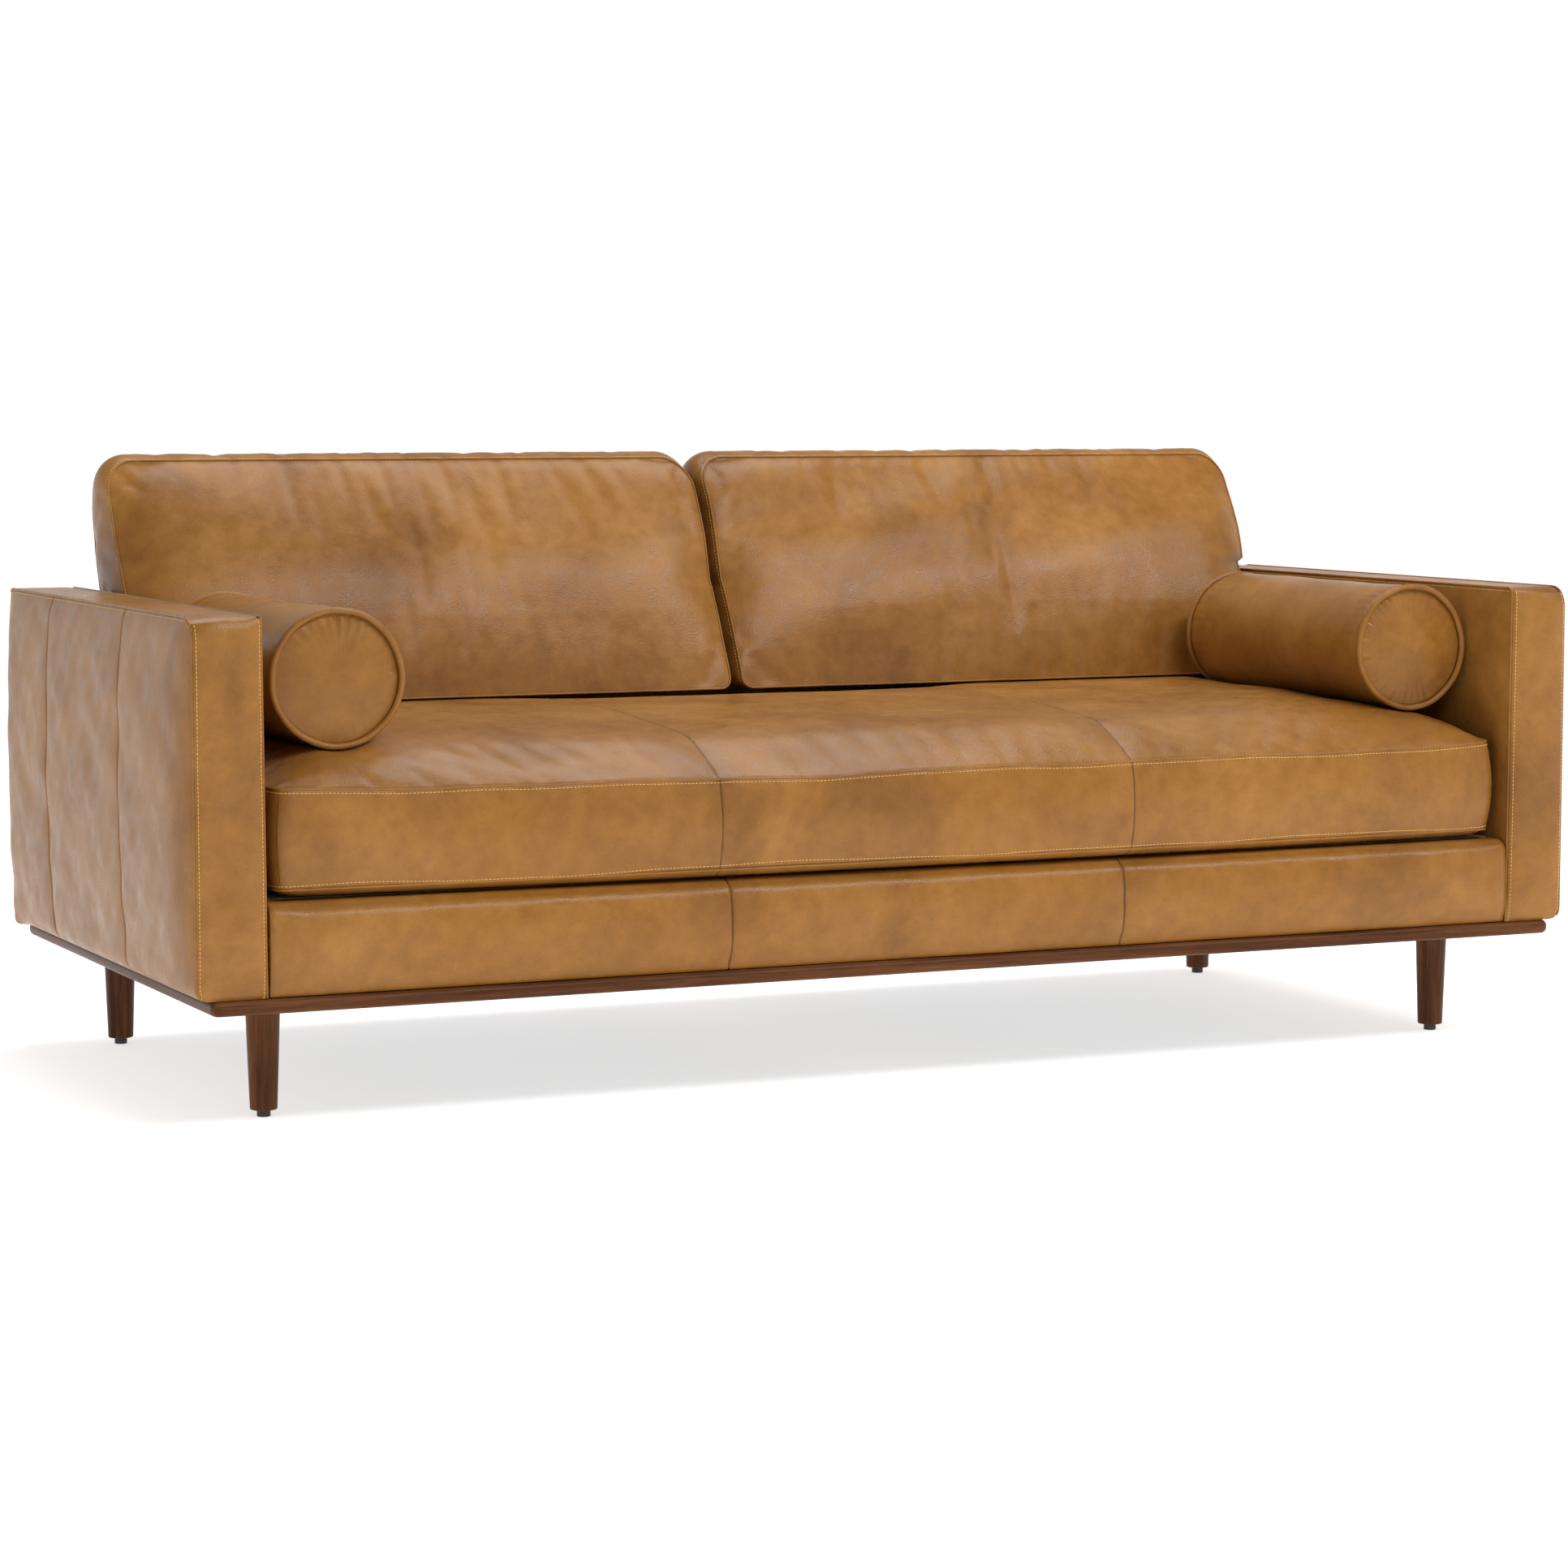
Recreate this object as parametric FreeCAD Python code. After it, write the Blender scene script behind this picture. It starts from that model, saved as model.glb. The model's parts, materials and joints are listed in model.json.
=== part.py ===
import FreeCAD, Part
import math
import os

# A three-seat sofa. Millimetres, +Z up, the front faces -Y, +X is to the right seen from the front.
# The origin is on the floor at the middle of the footprint.

Vector = FreeCAD.Vector
X_AXIS = Vector(1, 0, 0)
Y_AXIS = Vector(0, 1, 0)
Z_AXIS = Vector(0, 0, 1)

# Overall
WIDTH = 2040.0
DEPTH = 900.0
HALF_WIDTH = WIDTH / 2
FRONT = -DEPTH / 2
REAR = DEPTH / 2
SIDES = (-1, 1)
OVERCUT = 1.0        # how far a cut runs past the face it opens
FIT_GAP = 0.05
NEAR = 0.5           # how close a point counts as being at a height
QUARTER_CUT = 1 - math.sqrt(0.5)     # how far a quarter-round's middle is from its square corner

# Legs and levelling feet
FOOT_HEIGHT = 8.8
FOOT_RADIUS = 8.75
FOOT_ROUND = 1.0
FOOT_SOLE = 3.0
FOOT_SOCKET_TOP = 5.5
FOOT_SOCKET_RADIUS = 5.1
FOOT_STUD_GAP = 0.3
LEG_BOTTOM = 9.0
LEG_TOP = 150.0
LEG_TOP_RADIUS = 22.5
LEG_BOTTOM_RADIUS = 17.5
LEG_ROUND = 2.0
LEG_X = 875.6
LEG_FRONT_Y = -301.0
LEG_REAR_Y = 360.0
STUD_RADIUS = 3.0
STUD_BOTTOM = 4.0
STUD_TOP = 33.0
STUD_HEAD_RADIUS = 4.8
STUD_HEAD_BOTTOM = 3.3
STUD_HEAD_TOP = 5.2
STUD_BORE_GAP = 0.5
STUD_BORE_TOP = 39.0
INSERT_RADIUS = 5.0
INSERT_TOP = 27.0
BOLT_RADIUS = 4.0
BOLT_BOTTOM = 112.0
BOLT_TOP = 168.5
BOLT_BORE_BOTTOM = 109.0
BARREL_RADIUS = 5.0

# Wooden plinth
PLINTH_THICK = 19.0
PLINTH_TOP = LEG_TOP + PLINTH_THICK
PLINTH_HALF_WIDTH = 983.0
PLINTH_FRONT = -440.0
PLINTH_RAIL = 50.0
PLINTH_ROUND = 8.0
PLINTH_CORNER = 12.0
LEG_RAIL_WIDTH = 114.0
CENTRE_RAIL_WIDTH = 90.0

# Tee nuts in the leg rails
NUT_FLANGE_RADIUS = 11.0
NUT_FLANGE_Z = PLINTH_TOP - 1.5
NUT_BOTTOM = 155.0

# Soft layers
LEATHER = 1.5
PAD_INSET = 2.0

# Arms: the box of wood inside, and the seams and bulges of the cover
ARM_INNER_SEAM = 914.0
ARM_INNER_FOOT = 911.0
ARM_INNER_FACE = 909.0
ARM_OUTER_SEAM = 1002.0
ARM_OUTER_FOOT = 1008.0
ARM_OUTER_CORNER = 1004.0
ARM_BULGE_Z = 400.0
ARM_BOTTOM = 169.5
ARM_SEAM_Z = 641.0
ARM_CROWN_Z = 655.0
ARM_FRONT_SEAM = -434.0
ARM_FRONT_FACE = -444.0
ARM_REAR = 441.0
ARM_BOX_INNER = 925.0
ARM_BOX_OUTER = 995.0
ARM_BOX_FRONT = -418.0
ARM_BOX_REAR = 425.0
ARM_BOX_TOP = 628.0
ARM_PANEL = 5.0
ARM_RAIL = 25.0
ARM_POST = 40.0
ARM_PANEL_BOTTOM = 172.5
ARM_MOUTH_TOP = 200.0
ARM_HEM = 10.0                       # how far the inside is carried down to open the cover's bottom
ARM_ROOM = (800.0, 1100.0)           # a span of x that holds the whole arm

# Seat frame
RAIL_BOTTOM = 170.5
RAIL_TOP = 262.0
RAIL_THICK = 25.0
RAIL_HALF_WIDTH = 905.0
FRONT_RAIL_Y = -420.0
BACK_RAIL_Y = 405.0
STRETCHER_X = 330.0
STRETCHER_THICK = 22.0
STRETCHER_TOP = 244.2
CORNER_BLOCK = 60.0

# Springs and deck
SPRING_COUNT = 12
SPRING_PITCH = 150.0
SPRING_WIRE = 1.8
SPRING_HALF = 22.0
SPRING_BENDS = 40
SPRING_Z = 266.0
SPRING_FRONT_Y = -405.0
SPRING_REAR_Y = 415.0
CLIP_SIZE = (16.0, 9.0, 7.5)
CLIP_GAP = 0.1
DECK_FRONT = -419.5
DECK_BOTTOM = 270.5
DECK_TOP = 286.0
DECK_REAR = 352.0
DECK_HALF_WIDTH = 904.0
DECK_CLOTH = 1.2

# Front rail cover
FRONT_COVER_HALF_WIDTH = 907.0
FRONT_COVER_TOP = 287.5
FRONT_COVER_EDGE = -434.0
FRONT_COVER_ROUND = 10.0
FRONT_FOAM_REAR = -420.2

# Back frame: the lean of its face from the deck to its top
BACK_FACE_LOW = (355.0, 275.0)
BACK_FACE_HIGH = (400.0, 622.0)
BACK_REAR = 437.0
BACK_STEP_Y = 403.5
BACK_HALF_WIDTH = 907.0
BACK_FOAM = 10.0
RIB_XS = (-893.0, -600.0, -300.0, 0.0, 300.0, 600.0, 893.0)
RIB_THICK = 18.0
RIB_TOP = 596.0
BACK_RAIL_TOP = 612.0
BACK_PANEL_FRONT = 431.0
BACK_PANEL_THICK = 4.0
RIB_REAR = 430.0
RIB_FACE = 13.8                      # how deep the ribs' front edge is under the leather's face
STRAP_COUNT = 4
STRAP_HEIGHT = 50.0
STRAP_LOW = 300.0
STRAP_HIGH = 536.0
STRAP_DEPTHS = (12.2, 13.7)
BACK_FOAM_LOW = 279.0
BACK_FOAM_TURN = 612.2

# Seat cushion
SEAT_HALF_WIDTH = 898.0
SEAT_EDGE_FRONT = -426.0
SEAT_REAR = 338.0
SEAT_BOTTOM = 289.2
SEAT_LOW_SEAM = 301.0
SEAT_FRONT_SEAM = 419.0
SEAT_END_SEAM = 430.0
SEAT_SHOULDER = (700.0, 469.0)
SEAT_END_RISE = (800.0, 459.0)
SEAT_CROWN = 483.5
SEAT_END_EDGE = 894.0                # x of the end seams
SEAT_UNDER_EDGE = 884.0              # x of the ends of the flat underside
SEAT_END_MIDDLE_Z = 365.0
SEAT_UNDER_FRONT = -422.0
SEAT_UNDER_REAR = 326.0
SEAT_CROWN_Y = 120.0
SEAT_TOP_REAR = (260.0, 470.0)
SEAT_TOP_FRONT = (-260.0, 468.0)
SEAT_CLEAR_FRONT = -456.0            # ahead of the bowed front, so that only the outline cuts it

# Back cushions, drawn in a leaning profile
BACK_CUSHION_GAP = 2.0
BACK_CUSHION_OUTER = 900.0
BACK_CUSHION_BOTTOM = 484.6
BACK_CUSHION_TOP = 829.0
BACK_CUSHION_CORNER = 45.0
BACK_CUSHION_DROP = 4.0              # how much lower the top is at its corners than at its middle
BACK_CUSHION_INNER_EDGES = (8.0, 4.0)      # x of the inner side at the bottom and near the top
BACK_CUSHION_OUTER_EDGES = (892.0, 894.0)  # x of the outer side at the bottom and near the top
BACK_CUSHION_MIDDLE_Z = 620.0
# Points of the side view as (y, z): round the rear from the bottom, over the top, and down the face
BACK_CUSHION_SIDE = (
    (334.0, 484.6), (386.0, 610.0), (420.0, 690.0),
    (434.0, 750.0), (424.0, 808.0),
    (382.0, 829.0), (338.0, 815.0),
    (236.0, 650.0), (182.0, 495.0),
)
BACK_CUSHION_TOE_Y = 196.0

# Bolsters
BOLSTER_OUTER = 90.0
BOLSTER_RADIUS = 87.0
BOLSTER_PIPING = 3.5
PIPING_GAP = 0.8
BOLSTER_Z = 555.0
BOLSTER_XS = {"left": -782.0, "right": 815.0}
BOLSTER_FRONT = -326.0
BOLSTER_REAR = 140.0
BOLSTER_CROWN = 10.0

os.makedirs("parts", exist_ok=True)


def save(name, *solids):
    """Write one solid, or several separate solids, as one node."""
    shape = solids[0] if len(solids) == 1 else Part.makeCompound(list(solids))
    shape.exportStep("parts/" + name + ".step")
    print(name, len(shape.Solids), round(shape.Volume / 1000), "cm3", shape.isValid())


def box(x0, x1, y0, y1, z0, z1):
    return Part.makeBox(x1 - x0, y1 - y0, z1 - z0, Vector(x0, y0, z0))


def side_box(side, x0, x1, y0, y1, z0, z1):
    """A box given for the right-hand side, placed on either side."""
    low, high = sorted((side * x0, side * x1))
    return box(low, high, y0, y1, z0, z1)


def rod(radius, x, y, z0, z1):
    return Part.makeCylinder(radius, z1 - z0, Vector(x, y, z0), Z_AXIS)


def line(a, b):
    return Part.makeLine(a, b)


def arc(a, middle, b):
    return Part.Arc(a, middle, b).toShape()


def inset(wire, distance):
    return wire if distance == 0 else wire.makeOffset2D(-distance, 2, False, False)


def prism(wire, direction):
    return Part.Face(wire).extrude(direction)


def fillet_where(shape, radius, test):
    """Round the edges whose middle point passes the test."""
    edges = [e for e in shape.Edges if test(e.valueAt((e.FirstParameter + e.LastParameter) / 2))]
    return shape.makeFillet(radius, edges)


# ---------------------------------------------------------------- plinth and legs

def make_plinth():
    """Four mitred rails with a rounded outer edge, and three boards between them."""
    height = Vector(0, 0, PLINTH_THICK)
    slab = box(-PLINTH_HALF_WIDTH, PLINTH_HALF_WIDTH, PLINTH_FRONT, REAR, LEG_TOP, PLINTH_TOP)
    middle_z = (LEG_TOP + PLINTH_TOP) / 2
    slab = fillet_where(slab, PLINTH_CORNER, lambda p: abs(p.z - middle_z) < NEAR)
    slab = fillet_where(slab, PLINTH_ROUND, lambda p: abs(p.z - middle_z) > NEAR)
    inner_x = PLINTH_HALF_WIDTH - PLINTH_RAIL
    inner_front = PLINTH_FRONT + PLINTH_RAIL
    inner_rear = REAR - PLINTH_RAIL
    ring = slab.cut(box(-inner_x, inner_x, inner_front, inner_rear, LEG_TOP - OVERCUT, PLINTH_TOP + OVERCUT))
    corners = {
        "plinth_front": ((-1, PLINTH_FRONT), (1, PLINTH_FRONT), (1, inner_front), (-1, inner_front)),
        "plinth_back": ((-1, REAR), (1, REAR), (1, inner_rear), (-1, inner_rear)),
    }
    for name, outline in corners.items():
        points = []
        for index, (side, y) in enumerate(outline):
            x = PLINTH_HALF_WIDTH if index < 2 else inner_x
            points.append(Vector(side * x, y, LEG_TOP))
        wedge = Part.Face(Part.makePolygon(points + points[:1])).extrude(height)
        save(name, ring.common(wedge))
    for side, name in zip(SIDES, ("plinth_left", "plinth_right")):
        points = [
            Vector(side * PLINTH_HALF_WIDTH, PLINTH_FRONT, LEG_TOP),
            Vector(side * PLINTH_HALF_WIDTH, REAR, LEG_TOP),
            Vector(side * inner_x, inner_rear, LEG_TOP),
            Vector(side * inner_x, inner_front, LEG_TOP),
        ]
        wedge = Part.Face(Part.makePolygon(points + points[:1])).extrude(height)
        save(name, ring.common(wedge))
    boards = []
    for side in SIDES:
        board = side_box(side, inner_x - LEG_RAIL_WIDTH, inner_x, inner_front, inner_rear,
                         LEG_TOP, PLINTH_TOP)
        for y in (LEG_FRONT_Y, LEG_REAR_Y):
            x = side * LEG_X
            board = board.cut(rod(BARREL_RADIUS, x, y, LEG_TOP - OVERCUT, PLINTH_TOP + OVERCUT))
            board = board.cut(rod(NUT_FLANGE_RADIUS, x, y, NUT_FLANGE_Z, PLINTH_TOP + OVERCUT))
        boards.append(board)
    save("leg_rails", *boards)
    half = CENTRE_RAIL_WIDTH / 2
    save("centre_rail", box(-half, half, inner_front, inner_rear, LEG_TOP, PLINTH_TOP))


def leg_places():
    for side, end in zip(SIDES, ("left", "right")):
        yield "front_" + end, side * LEG_X, LEG_FRONT_Y
        yield "rear_" + end, side * LEG_X, LEG_REAR_Y


def make_legs():
    """Turned tapered legs on hanger bolts, each with a threaded insert and a levelling foot."""
    bolts = []
    nuts = []
    inserts = []
    for name, x, y in leg_places():
        place = Vector(x, y, LEG_BOTTOM)
        leg = Part.makeCone(LEG_BOTTOM_RADIUS, LEG_TOP_RADIUS, LEG_TOP - LEG_BOTTOM, place, Z_AXIS)
        leg = fillet_where(leg, LEG_ROUND, lambda p: abs(p.z - LEG_BOTTOM) < NEAR)
        leg = leg.cut(rod(BOLT_RADIUS, x, y, BOLT_BORE_BOTTOM, LEG_TOP + OVERCUT))
        leg = leg.cut(rod(INSERT_RADIUS + FIT_GAP, x, y, LEG_BOTTOM - OVERCUT, INSERT_TOP))
        leg = leg.cut(rod(STUD_RADIUS + STUD_BORE_GAP, x, y, INSERT_TOP - OVERCUT, STUD_BORE_TOP))
        save("leg_" + name, leg)

        bolts.append(rod(BOLT_RADIUS - FIT_GAP, x, y, BOLT_BOTTOM, BOLT_TOP))
        barrel = rod(BARREL_RADIUS - FIT_GAP, x, y, NUT_BOTTOM, NUT_FLANGE_Z)
        flange = rod(NUT_FLANGE_RADIUS - FIT_GAP, x, y, NUT_FLANGE_Z, PLINTH_TOP)
        bore = rod(BOLT_RADIUS, x, y, NUT_BOTTOM - OVERCUT, PLINTH_TOP + OVERCUT)
        nut = barrel.fuse(flange).cut(bore)
        nuts.append(nut.removeSplitter())
        insert = rod(INSERT_RADIUS, x, y, LEG_BOTTOM, INSERT_TOP)
        bore = rod(STUD_RADIUS + FIT_GAP, x, y, LEG_BOTTOM - OVERCUT, INSERT_TOP + OVERCUT)
        inserts.append(insert.cut(bore))

        stud = rod(STUD_RADIUS, x, y, STUD_BOTTOM, STUD_TOP)
        stud = stud.fuse(rod(STUD_HEAD_RADIUS, x, y, STUD_HEAD_BOTTOM, STUD_HEAD_TOP)).removeSplitter()
        save("stud_" + name, stud)
        foot = Part.makeCylinder(FOOT_RADIUS, FOOT_HEIGHT, Vector(x, y, 0), Z_AXIS)
        foot = fillet_where(foot, FOOT_ROUND, lambda p: abs(p.z) < NEAR)
        foot = foot.cut(rod(FOOT_SOCKET_RADIUS, x, y, FOOT_SOLE, FOOT_SOCKET_TOP))
        foot = foot.cut(rod(STUD_RADIUS + FOOT_STUD_GAP, x, y, FOOT_SOLE, FOOT_HEIGHT + OVERCUT))
        save("foot_" + name, foot)
    save("hanger_bolts", *bolts)
    save("tee_nuts", *nuts)
    save("foot_inserts", *inserts)


# ---------------------------------------------------------------- frame, springs and deck

def make_seat_frame():
    front = box(-RAIL_HALF_WIDTH, RAIL_HALF_WIDTH, FRONT_RAIL_Y, FRONT_RAIL_Y + RAIL_THICK,
                RAIL_BOTTOM, RAIL_TOP)
    back = box(-RAIL_HALF_WIDTH, RAIL_HALF_WIDTH, BACK_RAIL_Y, BACK_RAIL_Y + RAIL_THICK,
               RAIL_BOTTOM, RAIL_TOP)
    save("seat_front_rail", front)
    save("seat_back_rail", back)
    inner_front = FRONT_RAIL_Y + RAIL_THICK
    ends = [side_box(side, RAIL_HALF_WIDTH - RAIL_THICK, RAIL_HALF_WIDTH, inner_front, BACK_RAIL_Y,
                     RAIL_BOTTOM, RAIL_TOP) for side in SIDES]
    save("seat_end_rails", *ends)
    stretchers = [side_box(side, STRETCHER_X - STRETCHER_THICK / 2, STRETCHER_X + STRETCHER_THICK / 2,
                           inner_front, BACK_RAIL_Y, RAIL_BOTTOM, STRETCHER_TOP) for side in SIDES]
    save("seat_stretchers", *stretchers)
    blocks = []
    for side in SIDES:
        x = side * (RAIL_HALF_WIDTH - RAIL_THICK)
        for y, inward in ((inner_front, 1), (BACK_RAIL_Y, -1)):
            points = [Vector(x, y, RAIL_BOTTOM), Vector(x - side * CORNER_BLOCK, y, RAIL_BOTTOM),
                      Vector(x, y + inward * CORNER_BLOCK, RAIL_BOTTOM)]
            outline = Part.Face(Part.makePolygon(points + points[:1]))
            blocks.append(outline.extrude(Vector(0, 0, CORNER_BLOCK)))
    save("corner_blocks", *blocks)
    dust_cloth = box(-RAIL_HALF_WIDTH, RAIL_HALF_WIDTH, FRONT_RAIL_Y, BACK_RAIL_Y + RAIL_THICK,
                     PLINTH_TOP, RAIL_BOTTOM)
    save("dust_cloth", dust_cloth)


def spring_xs():
    start = -(SPRING_COUNT - 1) / 2 * SPRING_PITCH
    return [start + index * SPRING_PITCH for index in range(SPRING_COUNT)]


def make_spring(x):
    """A flat zigzag of straight runs across X joined by half-turns along Y."""
    step = (SPRING_REAR_Y - SPRING_FRONT_Y) / SPRING_BENDS
    radius = step / 2
    reach = SPRING_HALF - radius
    edges = []
    side = 1
    start = Vector(x - reach, SPRING_FRONT_Y, SPRING_Z)
    edges.append(line(start, Vector(x + reach, SPRING_FRONT_Y, SPRING_Z)))
    for index in range(SPRING_BENDS):
        y = SPRING_FRONT_Y + index * step
        turn_x = x + side * reach
        edges.append(arc(Vector(turn_x, y, SPRING_Z), Vector(turn_x + side * radius, y + radius, SPRING_Z),
                         Vector(turn_x, y + step, SPRING_Z)))
        edges.append(line(Vector(turn_x, y + step, SPRING_Z),
                          Vector(x - side * reach, y + step, SPRING_Z)))
        side = -side
    path = Part.Wire(edges)
    ring = Part.Wire(Part.makeCircle(SPRING_WIRE, start, X_AXIS))
    return path.makePipeShell([ring], True, False)


def make_springs():
    first_x = spring_xs()[0]
    spring = make_spring(first_x)
    width, depth, height = CLIP_SIZE
    springs = []
    clips = []
    for x in spring_xs():
        springs.append(spring.translated(Vector(x - first_x, 0, 0)))
        for y in (SPRING_FRONT_Y, SPRING_REAR_Y):
            clip = box(x - width / 2, x + width / 2, y - depth / 2, y + depth / 2,
                       RAIL_TOP, RAIL_TOP + height)
            bore_start = Vector(x - width / 2 - OVERCUT, y, SPRING_Z)
            bore = Part.makeCylinder(SPRING_WIRE + CLIP_GAP, width + 2 * OVERCUT, bore_start, X_AXIS)
            clips.append(clip.cut(bore))
    save("seat_springs", *springs)
    save("spring_clips", *clips)


def make_deck():
    save("deck_pad", box(-DECK_HALF_WIDTH, DECK_HALF_WIDTH, DECK_FRONT, DECK_REAR,
                         DECK_BOTTOM, DECK_TOP))
    save("deck_cloth", box(-DECK_HALF_WIDTH, DECK_HALF_WIDTH, FRONT_RAIL_Y + RAIL_THICK, DECK_REAR,
                           DECK_TOP, DECK_TOP + DECK_CLOTH))


def front_cover_block(distance):
    """The padded front rail: a shallow bulge in front and a rounded top edge, drawn further in."""
    def at(y, z):
        return Vector(-FRONT_COVER_HALF_WIDTH, y, z)

    bottom = ARM_BOTTOM
    top = FRONT_COVER_TOP - distance
    edge = FRONT_COVER_EDGE + distance
    nose = top - FRONT_COVER_ROUND
    rear = FRONT_RAIL_Y + RAIL_THICK
    cut = FRONT_COVER_ROUND * QUARTER_CUT
    wire = Part.Wire([
        arc(at(edge, bottom), at(FRONT + distance, (bottom + nose) / 2), at(edge, nose)),
        arc(at(edge, nose), at(edge + cut, top - cut), at(edge + FRONT_COVER_ROUND, top)),
        line(at(edge + FRONT_COVER_ROUND, top), at(rear, top)),
        line(at(rear, top), at(rear, bottom)),
        line(at(rear, bottom), at(edge, bottom)),
    ])
    return prism(wire, Vector(2 * FRONT_COVER_HALF_WIDTH, 0, 0))


def make_front_cover():
    behind = box(-HALF_WIDTH, HALF_WIDTH, FRONT_RAIL_Y, 0, 0, DECK_TOP)
    cover = front_cover_block(0).cut(front_cover_block(LEATHER)).cut(behind)
    save("front_rail_cover", cover)
    foam = front_cover_block(PAD_INSET)
    foam = foam.cut(box(-HALF_WIDTH, HALF_WIDTH, FRONT_FOAM_REAR, 0, 0, DEPTH))
    save("front_rail_foam", foam)


# ---------------------------------------------------------------- arms

def arm_block(side, distance):
    """The arm's soft outline: bulging faces that meet at sewn edges."""
    def at(x, z):
        return Vector(side * x, -DEPTH, z)

    def plan(x, y):
        return Vector(side * x, y, 0)

    inner = arc(at(ARM_INNER_FOOT, ARM_BOTTOM), at(ARM_INNER_FACE, ARM_BULGE_Z),
                at(ARM_INNER_SEAM, ARM_SEAM_Z))
    top = arc(at(ARM_INNER_SEAM, ARM_SEAM_Z), at((ARM_INNER_SEAM + ARM_OUTER_SEAM) / 2, ARM_CROWN_Z),
              at(ARM_OUTER_SEAM, ARM_SEAM_Z))
    outer = arc(at(ARM_OUTER_SEAM, ARM_SEAM_Z), at(HALF_WIDTH, ARM_BULGE_Z),
                at(ARM_OUTER_FOOT, ARM_BOTTOM))
    base = line(at(ARM_OUTER_FOOT, ARM_BOTTOM), at(ARM_INNER_FOOT, ARM_BOTTOM))
    section = prism(inset(Part.Wire([inner, top, outer, base]), distance), Vector(0, 2 * DEPTH, 0))

    front_inner = plan(ARM_INNER_SEAM, ARM_FRONT_SEAM)
    front_outer = plan(ARM_OUTER_CORNER, ARM_FRONT_SEAM)
    rear_inner = plan(ARM_INNER_SEAM, ARM_REAR)
    rear_outer = plan(ARM_OUTER_CORNER, ARM_REAR)
    inside = arc(front_inner, plan(ARM_INNER_FACE, 0), rear_inner)
    back = line(rear_inner, rear_outer)
    outside = arc(rear_outer, plan(HALF_WIDTH, 0), front_outer)
    front = arc(front_outer, plan((ARM_INNER_SEAM + ARM_OUTER_CORNER) / 2, ARM_FRONT_FACE), front_inner)
    outline = prism(inset(Part.Wire([inside, back, outside, front]), distance), Vector(0, 0, DEPTH))
    return section.common(outline)


def make_arms():
    posts = []
    top_rails = []
    base_rails = []
    panels = []
    inner = ARM_BOX_INNER + ARM_PANEL
    outer = ARM_BOX_OUTER - ARM_PANEL
    post_top = ARM_BOX_TOP - ARM_RAIL
    for side, end in zip(SIDES, ("left", "right")):
        whole = arm_block(side, 0)
        core = arm_block(side, LEATHER)
        floor = side_box(side, *ARM_ROOM, -DEPTH, DEPTH, 0, ARM_PANEL_BOTTOM)
        mouth = core.common(side_box(side, *ARM_ROOM, -DEPTH, DEPTH, ARM_BOTTOM + LEATHER, ARM_MOUTH_TOP))
        mouth = mouth.translated(Vector(0, 0, -ARM_HEM))
        save("arm_cover_" + end, whole.cut(core).cut(mouth))
        soft = arm_block(side, PAD_INSET).cut(floor)
        regions = (
            side_box(side, ARM_ROOM[0], ARM_BOX_INNER, -DEPTH, DEPTH, 0, DEPTH),
            side_box(side, ARM_BOX_OUTER, ARM_ROOM[1], -DEPTH, DEPTH, 0, DEPTH),
            side_box(side, ARM_BOX_INNER, ARM_BOX_OUTER, -DEPTH, DEPTH, ARM_BOX_TOP, DEPTH),
            side_box(side, ARM_BOX_INNER, ARM_BOX_OUTER, -DEPTH, ARM_BOX_FRONT, 0, ARM_BOX_TOP),
            side_box(side, ARM_BOX_INNER, ARM_BOX_OUTER, ARM_BOX_REAR, DEPTH, 0, ARM_BOX_TOP),
        )
        save("arm_foam_" + end, *[soft.common(region).Solids[0] for region in regions])

        front = ARM_BOX_FRONT
        rear = ARM_BOX_REAR
        posts.append(side_box(side, inner, outer, front, front + ARM_POST, PLINTH_TOP, post_top))
        posts.append(side_box(side, inner, outer, rear - ARM_POST, rear, PLINTH_TOP, post_top))
        top_rails.append(side_box(side, inner, outer, front, rear, post_top, ARM_BOX_TOP))
        base_rails.append(side_box(side, inner, outer, front + ARM_POST, rear - ARM_POST,
                                   PLINTH_TOP, PLINTH_TOP + ARM_RAIL))
        for x0, x1 in ((ARM_BOX_INNER, inner), (outer, ARM_BOX_OUTER)):
            panels.append(side_box(side, x0, x1, front, rear, ARM_PANEL_BOTTOM, ARM_BOX_TOP))
    save("arm_posts", *posts)
    save("arm_top_rails", *top_rails)
    save("arm_base_rails", *base_rails)
    save("arm_panels", *panels)


# ---------------------------------------------------------------- back frame

def back_wire(distance):
    """The back's side view: a leaning front face, a flat top and an upright rear."""
    low_y, low_z = BACK_FACE_LOW
    high_y, high_z = BACK_FACE_HIGH
    corners = ((low_y, low_z), (high_y, high_z), (BACK_REAR, high_z), (BACK_REAR, ARM_BOTTOM),
               (BACK_STEP_Y, ARM_BOTTOM), (BACK_STEP_Y, low_z))
    points = [Vector(-BACK_HALF_WIDTH, y, z) for y, z in corners]
    return inset(Part.makePolygon(points + points[:1]), distance)


def back_block(distance):
    return prism(back_wire(distance), Vector(2 * BACK_HALF_WIDTH, 0, 0))


def lean_y(z, distance):
    """How far back the leaning face is at a height, pushed in by a distance."""
    low_y, low_z = BACK_FACE_LOW
    high_y, high_z = BACK_FACE_HIGH
    slope = (high_y - low_y) / (high_z - low_z)
    return low_y + slope * (z - low_z) + distance * math.hypot(1, slope)


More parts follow.
